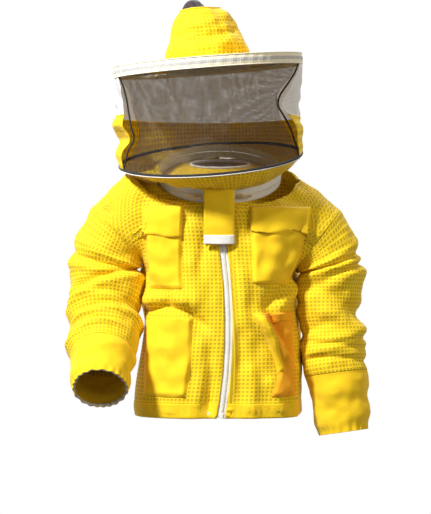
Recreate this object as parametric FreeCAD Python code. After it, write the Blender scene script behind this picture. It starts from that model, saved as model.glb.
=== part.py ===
import FreeCAD, Part
import math
import os

# Beekeeping jacket with a zip-on round-hat veil hood, in millimetres.
# The frame: origin at the middle of the neck base, +Z up, the front faces -Y,
# and the wearer's left side is +X.

V = FreeCAD.Vector
X_AXIS = V(1, 0, 0)
Y_AXIS = V(0, 1, 0)
Z_AXIS = V(0, 0, 1)
FAR = 700.0

# Cloth and clearances
MESH_WALL = 4.0            # three-layer ventilated mesh
PLAIN_WALL = 1.4           # plain poly-cotton of pockets, flaps and hems
NET_WALL = 1.2             # veil net with its seam allowance
TAPE_WALL = 1.5            # zip tape
HOOK_LOOP_WALL = 1.0       # hook tape and loop tape
BODY_GAP = 0.6             # between cloth edges of two moving parts
SLIDE_GAP = 0.4            # between a slider and the teeth it rides on
PULL_GAP = 0.4             # between a pull and its slider
STACK_GAP = 0.4            # between hook tape and loop tape
CUT_PAST = 3.0             # how far an inner shape runs past the shell it hollows

# Jacket body
JACKET_LENGTH = 435.0      # neck base to hem
NECK_RADIUS = 118.0
NECK_RISE = 33.0           # height of the neck ring's centre
NECK_PITCH = 25.0          # the ring dips to the front
CHEST_HALF_WIDTH = 168.0
WAIST_HALF_WIDTH = 146.0
HEM_HALF_WIDTH = 161.0
YOKE_HALF_WIDTH = 148.0
ARMPIT_HALF_WIDTH = 148.0
FRONT_DEPTH_AT_HEM = 120.0
BACK_DEPTH_AT_HEM = 120.0
BACK_DEPTH_AT_WAIST = 112.0
BACK_DEPTH_AT_ARMPIT = 118.0
BACK_DEPTH_AT_CHEST = 116.0
CHEST_DROP = 62.0
ARMPIT_DROP = 140.0
WAIST_DROP = 260.0
YOKE_DROP = 22.0           # below the neck ring's centre
CHEST_SHIFT = 10.0         # the chest is pushed to the wearer's left
YOKE_SHIFT = 3.0
HEM_SHIFT = -5.0
HEM_DRAW = 1.0             # the elastic draws the hem's edge in
BODY_SQUARENESS = 3.0      # 2 is an ellipse and more is squarer
YOKE_SQUARENESS = 2.3
NECK_SQUARENESS = 2.0
HEM_BAND = 31.0
HEM_ELASTIC = 12.0

# Neck zip
NECK_TAPE = 14.0           # tape height on each side of the teeth
TEETH_HALF = 2.6
TEETH_RISE = 1.6
NECK_ZIP_HALF_ANGLE = 135.0
NECK_SLIDER_ANGLE = 8.0
NECK_SLIDER_HALF = 6.0
NECK_STOP_ANGLE = 1.6
NECK_PULL_ANGLE = 12.0
NECK_PULL_HALF = 3.0
SLIDER_PLATE = 2.5
PULL_PLATE = 1.5
NECK_SLIDER_LEFT_AT = 18.0
NECK_SLIDER_RIGHT_AT = -20.0

# Front zip, which lies on a wide arc in the plane of the front
ZIP_RADIUS = 1027.0
ZIP_MIDDLE_X = 16.0        # where the arc is furthest to the wearer's left
ZIP_MIDDLE_SHARE = 0.57    # how far down the zip that is
ZIP_HALF = 7.5             # half the width of the two tapes together
ZIP_SLIDER = 14.0
ZIP_SLIDER_HALF = 5.5
ZIP_PULL = 24.0
ZIP_PULL_HALF = 3.5
ZIP_PULL_LAP = 6.0         # how much of the slider the pull covers
ZIP_BOX = 9.0
ZIP_BOX_LAP = 1.0          # how much wider than the teeth the pin box is on each side
ZIP_TOP = 6.0              # from the neck seam to the slider's top
ZIP_END = 2.0              # from the tapes' ends to the hem
TAPE_SINK = 0.4            # the tapes' face lies this far behind the cloth's
TAPE_HALF_GAP = 0.15
ZIP_CUT = 40.0             # half the depth of the cut for the zip
ABOVE_NECK = 200.0         # how far a front half runs past the neck seam
BELOW_HEM = 60.0

# Inner stand collar
COLLAR_TOP_RADIUS = 58.0
COLLAR_TOP = 50.0
COLLAR_BACK = 2.0          # the collar's top ring lies this far to the rear
COLLAR_WALL = 6.0
COLLAR_BINDING = 2.5
COLLAR_PITCH = 10.0

# Hood
HAT_CENTRE = V(-23, -15, 242)
HAT_PITCH = 3.4
HAT_ROLL = 4.4
BRIM_RADIUS = 178.0
BRIM_THICKNESS = 3.0
WIRE_RADIUS = 1.4
BAND_WALL = 1.2
BAND_ABOVE = 9.0
BAND_BELOW = 11.0
CROWN_RADIUS = 84.0
CROWN_WALL = 3.0
CROWN_HEIGHT = 112.0
CROWN_MIDDLE_HEIGHT = 50.0
CROWN_MIDDLE_RADIUS = 79.0
CROWN_SHOULDER_DROP = 20.0 # below the crown's top
CROWN_SHOULDER_RADIUS = 58.0
CROWN_SHOULDER_SHIFT = -8.0
CROWN_TOP_RADIUS = 42.0
CROWN_TOP_SHIFT = -4.0
TIP_SHIFT = -8.0
TIP_RISE = 12.0
TIP_TOP_RADIUS = 22.0
SWEATBAND_WALL = 1.5
SWEATBAND_DROP = 12.0
BRIM_LEDGE = 1.0           # how far the brim reaches in past the crown's wall
HOOP_RADIUS = 178.0
HOOP_CENTRE = V(-18, -10, 60)
HOOP_PITCH = 12.7
HOOP_WIRE_RADIUS = 2.0
HOOP_WIRE_LIFT = 3.0
HOOP_WIRE_GAP = 0.3
VEIL_HALF_ANGLE = 72.0
HOOD_BACK_TOP = 142.0      # where the rear net ends and the yellow mesh begins
HOOD_BACK_WALL = 3.5
SKIRT_WALL = 3.0

# Throat flap
THROAT_WIDTH = 58.0
THROAT_LENGTH = 105.0
THROAT_X = -2.0
THROAT_OUT = 15.5          # from the neck zip's tape out to the flap's seam
THROAT_GAP = 0.7           # below the skirt
THROAT_LEAN = 7.6
THROAT_TAPE = 18.0
THROAT_LOOP_LIFT = 2.0     # the loop patches lie this much higher than the hook tape

# Armholes and sleeve walls
LEFT_ARMHOLE = V(192, 0, -95)
LEFT_ARMHOLE_OUT = V(110, 0, -85)
RIGHT_ARMHOLE = V(-200, 0, -84)
RIGHT_ARMHOLE_OUT = V(-103, 0, -100)
ARMHOLE_RADIUS = 69.0
SLEEVE_WALL = 4.0
CUFF_WALL = 1.6
CUFF_ELASTIC = 16.0
CUFF_ELASTIC_WALL = 2.0
CUFF_CLEARANCE = 1.0
CUFF_ELASTIC_INSET = 1.0   # from the cuff's edge to its elastic
STUB_LENGTH = 110.0        # how far the shoulder's round runs in from the armhole

# Sleeves: (centre, direction along the sleeve, outer radius) of each ring
LEFT_ELBOW_RINGS = [
    (V(208, -2, -138), V(0.35, -0.03, -0.94), 62.0),
    (V(213, -3, -168), V(0.02, -0.04, -1), 60.0),
]
LEFT_LOWER_RINGS = [
    (V(215, -10, -268), V(0.02, -0.08, -1), 60.0),
    (V(219, -16, -312), V(0.08, -0.12, -1), 62.0),
    (V(225, -22, -356), V(0.12, -0.12, -1), 59.0),
]
LEFT_CUFF_END = (V(240, -34, -468), V(0.14, -0.1, -1), 46.0)
RIGHT_ELBOW_RINGS = [
    (V(-218, -2, -128), V(-0.3, -0.03, -0.95), 66.0),
    (V(-222, -4, -160), V(-0.02, -0.08, -1), 65.0),
]
RIGHT_LOWER_RINGS = [
    (V(-222, -50, -255), V(0, -0.66, -0.75), 65.0),
    (V(-223, -80, -287), V(0, -0.72, -0.69), 66.0),
    (V(-223, -109, -316), V(0, -0.72, -0.69), 60.0),
]
RIGHT_CUFF_END = (V(-222, -168, -374), V(0, -0.74, -0.67), 50.0)

# Pockets, each outline in the XZ plane, and how far each stands off the jacket
CHEST_POCKET_DEPTH = 10.0
CHEST_POCKET_LEFT = [(57, -42), (166, -42), (160, -104), (140, -160), (126, -184), (60, -180)]
CHEST_POCKET_RIGHT = [(-72, -42), (-142, -42), (-140, -110), (-134, -192), (-70, -192)]
CHEST_FLAP_LEFT = [(56, -34), (170, -34), (166, -86), (110, -78), (56, -84)]
CHEST_FLAP_RIGHT = [(-71, -32), (-147, -32), (-146, -96), (-128, -86), (-71, -90)]
CHEST_TAPE_LEFT = (72, 142)
CHEST_TAPE_RIGHT = (-128, -84)
CHEST_TAPE_TOP = -60.0
CHEST_TAPE_HEIGHT = 12.0
LOWER_POCKET_DEPTH = 10.0
LOWER_POCKET_LEFT = [(68, -240), (136, -238), (146, -310), (148, -396), (94, -396), (104, -352)]
LOWER_POCKET_RIGHT = [(-140, -250), (-86, -242), (-52, -246), (-54, -330), (-64, -396), (-146, -396)]

# Loop to hang the jacket by
HANGER_WIDTH = 46.0
HANGER_BAR = 2.0
HANGER_DROP = 16.0
HANGER_RIM = 4.0
HANGER_INSET = 14.0        # forward of the collar's foot
HANGER_BELOW = 12.0        # below the collar's foot


def unit(vector):
    length = vector.Length
    return V(vector.x / length, vector.y / length, vector.z / length)


def ring_wire(centre, direction, radius):
    """A circle square to the direction, which starts at the rear of each ring."""
    normal = unit(direction)
    rear = unit(Y_AXIS - normal * Y_AXIS.dot(normal))
    turn = FreeCAD.Rotation(rear, normal.cross(rear), normal, "ZXY")
    edge = Part.makeCircle(radius)
    edge.Placement = FreeCAD.Placement(centre, turn)
    return Part.Wire(edge)


def tube(rings, wall):
    """A hollow tube of the given wall through rings of outer radius."""
    outer = [ring_wire(centre, direction, radius) for centre, direction, radius in rings]
    inner = [ring_wire(centre, direction, radius - wall) for centre, direction, radius in rings]
    ruled = len(rings) == 2
    return Part.makeLoft(outer, True, ruled).cut(Part.makeLoft(inner, True, ruled))


def moved_ring(ring, distance):
    """The same ring further along the sleeve."""
    centre, direction, radius = ring
    return (centre + unit(direction) * distance, direction, radius)


def largest(shape):
    """The main solid of a shape, without slivers left at its cut edges."""
    return max(shape.Solids, key=lambda solid: solid.Volume)


def sector(inner, outer, low, high, start=0.0, end=360.0):
    """A piece of a ring about Z; angles run from the front to the wearer's left."""
    corners = [V(0, -inner, low), V(0, -outer, low), V(0, -outer, high), V(0, -inner, high)]
    face = Part.Face(Part.makePolygon(corners + corners[:1]))
    face.rotate(V(0, 0, 0), Z_AXIS, start)
    return face.revolve(V(0, 0, 0), Z_AXIS, end - start)


def placed(shape, placement):
    """A copy of a shape built in its own frame, put where it belongs."""
    copy = shape.copy()
    copy.transformShape(placement.toMatrix())
    return copy


def prism_y(outline):
    """An XZ outline drawn through the whole front half."""
    corners = [V(x, -FAR, z) for x, z in outline]
    return Part.Face(Part.makePolygon(corners + corners[:1])).extrude(V(0, FAR, 0))


def slab(low, high):
    """All the space between two heights."""
    return Part.makeBox(2 * FAR, 2 * FAR, high - low, V(-FAR, -FAR, low))


# --- frames ---------------------------------------------------------------

def neck_frame():
    return FreeCAD.Placement(V(0, 0, NECK_RISE), FreeCAD.Rotation(X_AXIS, NECK_PITCH))


def hat_frame():
    turn = FreeCAD.Rotation(Y_AXIS, -HAT_ROLL).multiply(FreeCAD.Rotation(X_AXIS, HAT_PITCH))
    return FreeCAD.Placement(HAT_CENTRE, turn)


def hoop_frame():
    turn = FreeCAD.Rotation(Y_AXIS, -HAT_ROLL).multiply(FreeCAD.Rotation(X_AXIS, HOOP_PITCH))
    return FreeCAD.Placement(HOOP_CENTRE, turn)


def neck_seam_front():
    return neck_frame().multVec(V(0, -NECK_RADIUS, -NECK_TAPE))


def front_slope():
    """How far the front leans out for each millimetre down."""
    top = neck_seam_front()
    return (FRONT_DEPTH_AT_HEM + top.y) / (JACKET_LENGTH + top.z)


def front_depth(z):
    """The front's depth at this height, on one straight line in side view."""
    top = neck_seam_front()
    return -top.y + front_slope() * (top.z - z)


def zip_frame():
    """X across, Y up the front and Z out of it, from the neck seam's front."""
    tilt = 90 - math.degrees(math.atan(front_slope()))
    return FreeCAD.Placement(neck_seam_front(), FreeCAD.Rotation(X_AXIS, tilt))


# --- jacket body ----------------------------------------------------------

def body_wire(centre, half_width, front, rear, squareness, pitch):
    """A rounded-rectangle section; front and rear are its depths on each side of the centre."""
    back = V(0, math.cos(math.radians(pitch)), math.sin(math.radians(pitch)))
    count = 24
    points = []
    for step in range(count):
        angle = math.pi / 2 + 2 * math.pi * step / count
        across = math.copysign(abs(math.cos(angle)) ** (2 / squareness), math.cos(angle))
        along = math.copysign(abs(math.sin(angle)) ** (2 / squareness), math.sin(angle))
        depth = rear if along > 0 else front
        points.append(centre + X_AXIS * (half_width * across) + back * (depth * along))
    curve = Part.BSplineCurve()
    curve.interpolate(points, PeriodicFlag=True)
    return Part.Wire(curve.toShape())


def torso_solid(offset, past_ends=0.0):
    """The jacket's outer shape from hem to neck seam, grown by the offset."""
    neck_up = neck_frame().Rotation.multVec(Z_AXIS)
    neck = V(0, 0, NECK_RISE) - neck_up * (NECK_TAPE - past_ends)
    pitched = math.cos(math.radians(NECK_PITCH))
    yoke_z = NECK_RISE - YOKE_DROP
    yoke_front = front_depth(yoke_z - NECK_RADIUS * math.sin(math.radians(NECK_PITCH)))
    sections = []
    for drop, shift, half_width, rear in (
            (JACKET_LENGTH + past_ends, HEM_SHIFT, HEM_HALF_WIDTH - HEM_DRAW, BACK_DEPTH_AT_HEM),
            (JACKET_LENGTH - HEM_BAND, HEM_SHIFT, HEM_HALF_WIDTH, BACK_DEPTH_AT_HEM),
            (WAIST_DROP, 0, WAIST_HALF_WIDTH, BACK_DEPTH_AT_WAIST),
            (ARMPIT_DROP, 0, ARMPIT_HALF_WIDTH, BACK_DEPTH_AT_ARMPIT),
            (CHEST_DROP, CHEST_SHIFT, CHEST_HALF_WIDTH, BACK_DEPTH_AT_CHEST)):
        sections.append(body_wire(V(shift, 0, -drop), half_width + offset, front_depth(-drop) + offset,
                                  rear + offset, BODY_SQUARENESS, 0))
    sections.append(body_wire(V(YOKE_SHIFT, 0, yoke_z), YOKE_HALF_WIDTH + offset,
                              yoke_front / pitched + offset, BACK_DEPTH_AT_CHEST + offset,
                              YOKE_SQUARENESS, NECK_PITCH))
    sections.append(body_wire(neck, NECK_RADIUS + offset, NECK_RADIUS + offset,
                              NECK_RADIUS + offset, NECK_SQUARENESS, NECK_PITCH))
    return Part.makeLoft(sections, True, False)


def stub_solid(centre, outward, offset, past_end=0.0):
    """The shoulder's round run out to the armhole."""
    axis = unit(outward)
    start = centre - axis * STUB_LENGTH
    return Part.makeCylinder(ARMHOLE_RADIUS + offset, STUB_LENGTH + past_end, start, axis)


def jacket_solid(offset, past_ends=0.0):
    solid = torso_solid(offset, past_ends)
    for centre, outward in ((LEFT_ARMHOLE, LEFT_ARMHOLE_OUT), (RIGHT_ARMHOLE, RIGHT_ARMHOLE_OUT)):
        solid = solid.fuse(stub_solid(centre, outward, offset, past_ends))
    return solid


def zip_arc_centre():
    run = JACKET_LENGTH + neck_seam_front().z
    return V(ZIP_MIDDLE_X - ZIP_RADIUS, -run * ZIP_MIDDLE_SHARE, 0)


def zip_angle(down):
    """The arc's angle at this distance down the front from the neck seam."""
    centre = zip_arc_centre()
    return math.degrees(math.asin((-down - centre.y) / ZIP_RADIUS))


def zip_strip(inside, outside, top, bottom, low, high):
    """A strip along the zip, by its two side offsets, its two drops and its two heights."""
    centre = zip_arc_centre()
    small, large = ZIP_RADIUS + inside, ZIP_RADIUS + outside
    angles = [math.radians(zip_angle(drop)) for drop in (top, (top + bottom) / 2, bottom)]

    def point(radius, angle):
        return V(centre.x + radius * math.cos(angle), centre.y + radius * math.sin(angle), low)

    outer = Part.Arc(*[point(large, angle) for angle in angles]).toShape()
    inner = Part.Arc(*[point(small, angle) for angle in reversed(angles)]).toShape()
    joins = [Part.makeLine(point(large, angles[2]), point(small, angles[2])),
             Part.makeLine(point(small, angles[0]), point(large, angles[0]))]
    wire = Part.Wire([outer, joins[0], inner, joins[1]])
    return placed(Part.Face(wire).extrude(V(0, 0, high - low)), zip_frame())


def zip_run():
    """The length of the front from the neck seam to the hem, along its slope."""
    top = neck_seam_front()
    return math.hypot(JACKET_LENGTH + top.z, FRONT_DEPTH_AT_HEM + top.y)


def front_half(side):
    """Everything before the side seams on one side of the zip (+1 is the wearer's left)."""
    half = Part.makeBox(2 * FAR, FAR, 2 * FAR, V(-FAR, -FAR, -FAR))
    reach = zip_run() + BELOW_HEM
    sides = sorted((side * ZIP_HALF, side * FAR))
    keep = zip_strip(*sides, -ABOVE_NECK, reach, -FAR, ZIP_CUT)
    return half.common(keep)


def front_and_back(shell):
    """The front halves and the back of a shell, split at the zip and the side seams."""
    rear = Part.makeBox(2 * FAR, FAR, 2 * FAR, V(-FAR, 0, -FAR))
    return shell.common(front_half(1)), shell.common(front_half(-1)), shell.common(rear)


def jacket_nodes(solid_at):
    """Front panels, back panel, hem band and hem elastic."""
    shell = solid_at(0).cut(jacket_solid(-MESH_WALL, CUT_PAST))
    left, right, back = front_and_back(shell)
    hem_space = slab(-JACKET_LENGTH, -JACKET_LENGTH + HEM_BAND)
    gap = zip_strip(-ZIP_HALF, ZIP_HALF, 0, zip_run() + BELOW_HEM, -ZIP_CUT, ZIP_CUT)
    band = torso_solid(PLAIN_WALL).cut(torso_solid(0, CUT_PAST)).common(hem_space).cut(gap)
    elastic_space = slab(-JACKET_LENGTH, -JACKET_LENGTH + HEM_ELASTIC)
    inside = torso_solid(-MESH_WALL).cut(torso_solid(-MESH_WALL - PLAIN_WALL, CUT_PAST))
    return {
        "front_panel_left": largest(left),
        "front_panel_right": largest(right),
        "back_panel": largest(back),
        "hem_band": band,
        "hem_elastic": inside.common(elastic_space).cut(gap),
    }


# --- zips -----------------------------------------------------------------

def front_zip_nodes():
    """Two tapes, two rows of teeth, the pin box, and the slider with its pull."""
    tape_low = -TAPE_WALL - TAPE_SINK
    tape_top = TAPE_WALL
    tape_end = zip_run() - ZIP_END
    teeth_high = tape_low + TAPE_WALL + TEETH_RISE
    slider_low = teeth_high + SLIDE_GAP
    pull_low = slider_low + SLIDER_PLATE + PULL_GAP
    slider_bottom = ZIP_TOP + ZIP_SLIDER
    nodes = {}
    for side, name in ((1, "left"), (-1, "right")):
        tape = sorted((side * TAPE_HALF_GAP, side * ZIP_HALF))
        teeth = sorted((side * TAPE_HALF_GAP, side * TEETH_HALF))
        nodes["zip_tape_" + name] = zip_strip(*tape, tape_top, tape_end, tape_low, tape_low + TAPE_WALL)
        nodes["zip_teeth_" + name] = zip_strip(*teeth, tape_top, tape_end - ZIP_BOX,
                                               tape_low + TAPE_WALL, teeth_high)
    box_half = TEETH_HALF + ZIP_BOX_LAP
    nodes["zip_box"] = zip_strip(-box_half, box_half, tape_end - ZIP_BOX, tape_end,
                                 tape_low + TAPE_WALL, teeth_high)
    nodes["front_slider"] = zip_strip(-ZIP_SLIDER_HALF, ZIP_SLIDER_HALF, ZIP_TOP, slider_bottom,
                                      slider_low, slider_low + SLIDER_PLATE)
    pull_top = slider_bottom - ZIP_PULL_LAP
    nodes["front_pull"] = zip_strip(-ZIP_PULL_HALF, ZIP_PULL_HALF, pull_top, pull_top + ZIP_PULL,
                                    pull_low, pull_low + PULL_PLATE)
    return nodes


def neck_zip_nodes():
    """Lower and upper tapes with their teeth, end stops, and two sliders with pulls."""
    frame = neck_frame()
    inner, outer = NECK_RADIUS - TAPE_WALL, NECK_RADIUS
    crest = NECK_RADIUS + TEETH_RISE
    half_gap = BODY_GAP / 2
    reach = NECK_ZIP_HALF_ANGLE
    plate = crest + SLIDE_GAP
    plate_top = plate + SLIDER_PLATE
    pull = plate_top + PULL_GAP
    shapes = {
        "neck_tape_lower": sector(inner, outer, -NECK_TAPE, -half_gap),
        "neck_tape_upper": sector(inner, outer, half_gap, NECK_TAPE),
        "neck_teeth_lower": sector(outer, crest, -TEETH_HALF, -half_gap, -reach, reach),
        "neck_teeth_upper": sector(outer, crest, half_gap, TEETH_HALF, -reach, reach),
    }
    for name, at, way in (("left", NECK_SLIDER_LEFT_AT, 1), ("right", NECK_SLIDER_RIGHT_AT, -1)):
        stop = sorted((way * reach, way * (reach + NECK_STOP_ANGLE)))
        shapes["neck_stop_" + name] = sector(outer, crest, -TEETH_HALF, -half_gap, *stop)
        half = NECK_SLIDER_ANGLE / 2
        shapes["neck_slider_" + name] = sector(plate, plate_top, -NECK_SLIDER_HALF, NECK_SLIDER_HALF,
                                               at - half, at + half)
        tab_start = at - way * half / 2
        tab = sorted((tab_start, tab_start + way * NECK_PULL_ANGLE))
        shapes["neck_pull_" + name] = sector(pull, pull + PULL_PLATE, -NECK_PULL_HALF, NECK_PULL_HALF, *tab)
    return {name: placed(shape, frame) for name, shape in shapes.items()}


# --- inner collar and hanger ------------------------------------------------

def collar_nodes():
    """A funnel from the neck seam up to the neck, and the binding round its edge."""
    frame = neck_frame()
    up = FreeCAD.Rotation(X_AXIS, COLLAR_PITCH).multVec(Z_AXIS)
    seam = (frame.multVec(V(0, 0, -NECK_TAPE)), frame.Rotation.multVec(Z_AXIS), NECK_RADIUS - MESH_WALL)
    top = (V(0, COLLAR_BACK, COLLAR_TOP), up, COLLAR_TOP_RADIUS)
    binding = tube([top, moved_ring(top, COLLAR_BINDING)], COLLAR_WALL)
    return {"collar": tube([seam, top], COLLAR_WALL), "collar_binding": binding}


def hanger_loop():
    """A small loop inside the back of the neck."""
    rear = neck_frame().multVec(V(0, NECK_RADIUS - MESH_WALL, -NECK_TAPE))
    corner = V(-HANGER_WIDTH / 2, rear.y - HANGER_INSET, rear.z - HANGER_DROP - HANGER_BELOW)
    outer = Part.makeBox(HANGER_WIDTH, HANGER_BAR, HANGER_DROP, corner)
    hole = Part.makeBox(HANGER_WIDTH - 2 * HANGER_RIM, HANGER_BAR, HANGER_DROP - 2 * HANGER_RIM,
                        corner + V(HANGER_RIM, 0, HANGER_RIM))
    return outer.cut(hole)


# --- hood -----------------------------------------------------------------

def hat_nodes():
    """Crown, its net top, brim, brim wire, brim band and sweatband."""
    half = BRIM_THICKNESS / 2
    brim_hole = CROWN_RADIUS - CROWN_WALL - BRIM_LEDGE
    wire_at = BRIM_RADIUS + WIRE_RADIUS
    band = BRIM_RADIUS + 2 * WIRE_RADIUS
    wire = Part.makeTorus(wire_at, WIRE_RADIUS)
    shoulder = CROWN_HEIGHT - CROWN_SHOULDER_DROP
    crown = [
        (V(0, 0, half), Z_AXIS, CROWN_RADIUS),
        (V(0, 0, CROWN_MIDDLE_HEIGHT), Z_AXIS, CROWN_MIDDLE_RADIUS),
        (V(CROWN_SHOULDER_SHIFT, 0, shoulder), Z_AXIS, CROWN_SHOULDER_RADIUS),
        (V(CROWN_TOP_SHIFT, 0, CROWN_HEIGHT), Z_AXIS, CROWN_TOP_RADIUS),
    ]
    tip = [crown[-1], (V(TIP_SHIFT, 0, CROWN_HEIGHT + TIP_RISE), Z_AXIS, TIP_TOP_RADIUS)]
    lid = Part.makeCylinder(TIP_TOP_RADIUS - CROWN_WALL / 2, NET_WALL, tip[1][0] - V(0, 0, NET_WALL))
    shapes = {
        "hat_crown": tube(crown, CROWN_WALL),
        "crown_tip": tube(tip, CROWN_WALL).fuse(lid),
        "brim": sector(brim_hole, BRIM_RADIUS, -half, half),
        "brim_wire": wire,
        "brim_band": sector(band, band + BAND_WALL, -BAND_BELOW, BAND_ABOVE),
        "sweatband": sector(brim_hole - SWEATBAND_WALL, brim_hole, -SWEATBAND_DROP, half),
    }
    return {name: placed(shape, hat_frame()) for name, shape in shapes.items()}


def placed_ring(frame, height, radius):
    return (frame.multVec(V(0, 0, height)), frame.Rotation.multVec(Z_AXIS), radius)


def front_wedge():
    """The space before the veil's two upright seams."""
    spread = math.radians(VEIL_HALF_ANGLE)
    apex = V(HOOP_CENTRE.x, HOOP_CENTRE.y, -FAR)
    side = V(math.sin(spread), -math.cos(spread), 0) * FAR
    other = V(-side.x, side.y, 0)
    corners = [apex, apex + side, apex + V(FAR, -FAR, 0), apex + V(-FAR, -FAR, 0), apex + other]
    return Part.Face(Part.makePolygon(corners + corners[:1])).extrude(V(0, 0, 2 * FAR))


def veil_nodes(solid_at):
    """Front net, rear net, yellow rear, hoop wire and the skirt down to the neck zip."""
    top = placed_ring(hat_frame(), -BAND_BELOW, BRIM_RADIUS + 2 * WIRE_RADIUS + BAND_WALL)
    bottom = placed_ring(hoop_frame(), 0, HOOP_RADIUS)
    wedge = front_wedge()
    net = tube([top, bottom], NET_WALL)
    cloth = tube([top, bottom], HOOD_BACK_WALL)
    wire_at = HOOP_RADIUS - HOOD_BACK_WALL - HOOP_WIRE_RADIUS - HOOP_WIRE_GAP
    wire = Part.makeTorus(wire_at, HOOP_WIRE_RADIUS, V(0, 0, HOOP_WIRE_LIFT))
    neck = neck_frame()
    tape_top = (neck.multVec(V(0, 0, NECK_TAPE)), neck.Rotation.multVec(Z_AXIS), NECK_RADIUS - TAPE_WALL)
    rims = [ring_wire(*bottom), ring_wire(*tape_top)]
    skirt = Part.makeLoft(rims, False, True).Faces[0].extrude(V(0, 0, -SKIRT_WALL))
    tape_inside = NECK_RADIUS - TAPE_WALL - CUT_PAST
    tape = placed(sector(tape_inside, NECK_RADIUS, -NECK_TAPE, NECK_TAPE), neck)
    return {
        "veil_front": net.common(wedge),
        "veil_rear": net.cut(wedge).common(slab(HOOD_BACK_TOP, FAR)),
        "hood_back": cloth.cut(wedge).common(slab(-FAR, HOOD_BACK_TOP)),
        "veil_hoop": placed(wire, hoop_frame()),
        "hood_skirt": largest(skirt.cut(tape).cut(solid_at(BODY_GAP))),
    }


def throat_seam():
    """The middle of the throat flap's seam, under the front of the hood's skirt."""
    neck = neck_frame().multVec(V(0, TAPE_WALL - NECK_RADIUS, NECK_TAPE))
    hoop = hoop_frame().multVec(V(0, -HOOP_RADIUS, 0))
    spot = neck + (hoop - neck) * (THROAT_OUT / (neck.y - hoop.y))
    return V(THROAT_X, spot.y, spot.z - SKIRT_WALL - THROAT_GAP)


def throat_nodes():
    """The flap over the meeting ends of the zips, and the hook tape at its end."""
    left = -THROAT_WIDTH / 2
    flap = Part.makeBox(THROAT_WIDTH, PLAIN_WALL, THROAT_LENGTH, V(left, 0, -THROAT_LENGTH))
    tape = Part.makeBox(THROAT_WIDTH, HOOK_LOOP_WALL, THROAT_TAPE,
                        V(left, -HOOK_LOOP_WALL, -THROAT_LENGTH))
    place = FreeCAD.Placement(throat_seam(), FreeCAD.Rotation(X_AXIS, THROAT_LEAN))
    return {"throat_flap": placed(flap, place), "throat_hook": placed(tape, place)}


# --- sleeves --------------------------------------------------------------

def sleeve_nodes(name, armhole, outward, elbow_rings, lower_rings, cuff_end):
    """Upper sleeve, elbow fold, lower sleeve, cuff and cuff elastic."""
    seam = moved_ring((armhole, outward, ARMHOLE_RADIUS), BODY_GAP)
    fold_end = moved_ring(lower_rings[0], -BODY_GAP)
    cuff = [lower_rings[-1], cuff_end]
    elastic_end = moved_ring(cuff_end, -CUFF_ELASTIC_INSET)
    elastic_start = moved_ring(elastic_end, -CUFF_ELASTIC)
    inner = cuff_end[2] - CUFF_WALL - CUFF_CLEARANCE
    elastic = [(elastic_start[0], cuff_end[1], inner), (elastic_end[0], cuff_end[1], inner)]
    return {
        "sleeve_upper_" + name: tube([seam] + elbow_rings, SLEEVE_WALL),
        "sleeve_elbow_" + name: tube([elbow_rings[-1], fold_end], SLEEVE_WALL),
        "sleeve_lower_" + name: tube(lower_rings, SLEEVE_WALL),
        "cuff_" + name: tube(cuff, CUFF_WALL),
        "cuff_elastic_" + name: tube(elastic, CUFF_ELASTIC_WALL),
    }


# --- pockets and their flaps ------------------------------------------------

def inset_prism(outline, wall):
    """The outline drawn through the front, smaller by the wall and open at the top."""
    face = Part.Face(Part.makePolygon([V(x, -FAR, z) for x, z in outline + outline[:1]]))
    inner = face.makeOffset2D(-wall, 2)
    solid = inner.extrude(V(0, FAR, 0))
    top = max(z for x, z in outline)
    raised = solid.copy()
    raised.translate(V(0, 0, wall * 3))
    return solid.fuse(raised.common(slab(top - wall * 2, top + wall * 4)))


def pocket(solid_at, outline, depth):
    """A cloth front standing off the jacket on cloth sides, open along its top."""
    block = solid_at(depth).common(prism_y(outline))
    hollow = solid_at(depth - PLAIN_WALL).common(inset_prism(outline, PLAIN_WALL))
    return block.cut(hollow).cut(solid_at(0))


def layer(solid_at, outline, low, wall):
    """A sheet of cloth that follows the front at this distance from it."""
    region = prism_y(outline)
    return solid_at(low + wall).common(region).cut(solid_at(low))


def rectangle(left, right, top, height):
    return [(left, top), (right, top), (right, top - height), (left, top - height)]


def chest_nodes(solid_at, name, pocket_outline, flap_outline, tape_sides):
    """A chest pocket, its loop tape, and the flap with its hook tape."""
    tape = rectangle(*tape_sides, CHEST_TAPE_TOP, CHEST_TAPE_HEIGHT)
    hook_low = CHEST_POCKET_DEPTH + HOOK_LOOP_WALL + STACK_GAP
    return {
        "chest_pocket_" + name: pocket(solid_at, pocket_outline, CHEST_POCKET_DEPTH),
        "chest_loop_" + name: layer(solid_at, tape, CHEST_POCKET_DEPTH, HOOK_LOOP_WALL),
        "chest_hook_" + name: layer(solid_at, tape, hook_low, HOOK_LOOP_WALL),
        "chest_flap_" + name: layer(solid_at, flap_outline, hook_low + HOOK_LOOP_WALL, PLAIN_WALL),
    }


def throat_loops(solid_at):
    """The two loop patches under the throat flap, one on each side of the zip."""
    top = throat_seam().z - THROAT_LENGTH + THROAT_TAPE + THROAT_LOOP_LIFT
    left = THROAT_X - THROAT_WIDTH / 2
    strip = rectangle(left, left + THROAT_WIDTH, top, THROAT_TAPE)
    patch = layer(solid_at, strip, 0, HOOK_LOOP_WALL)
    return patch.common(front_half(1)), patch.common(front_half(-1))


def jacket_cache():
    """Builds each grown copy of the jacket once."""
    made = {}

    def solid_at(offset):
        if offset not in made:
            made[offset] = jacket_solid(offset)
        return made[offset]

    return solid_at


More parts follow.
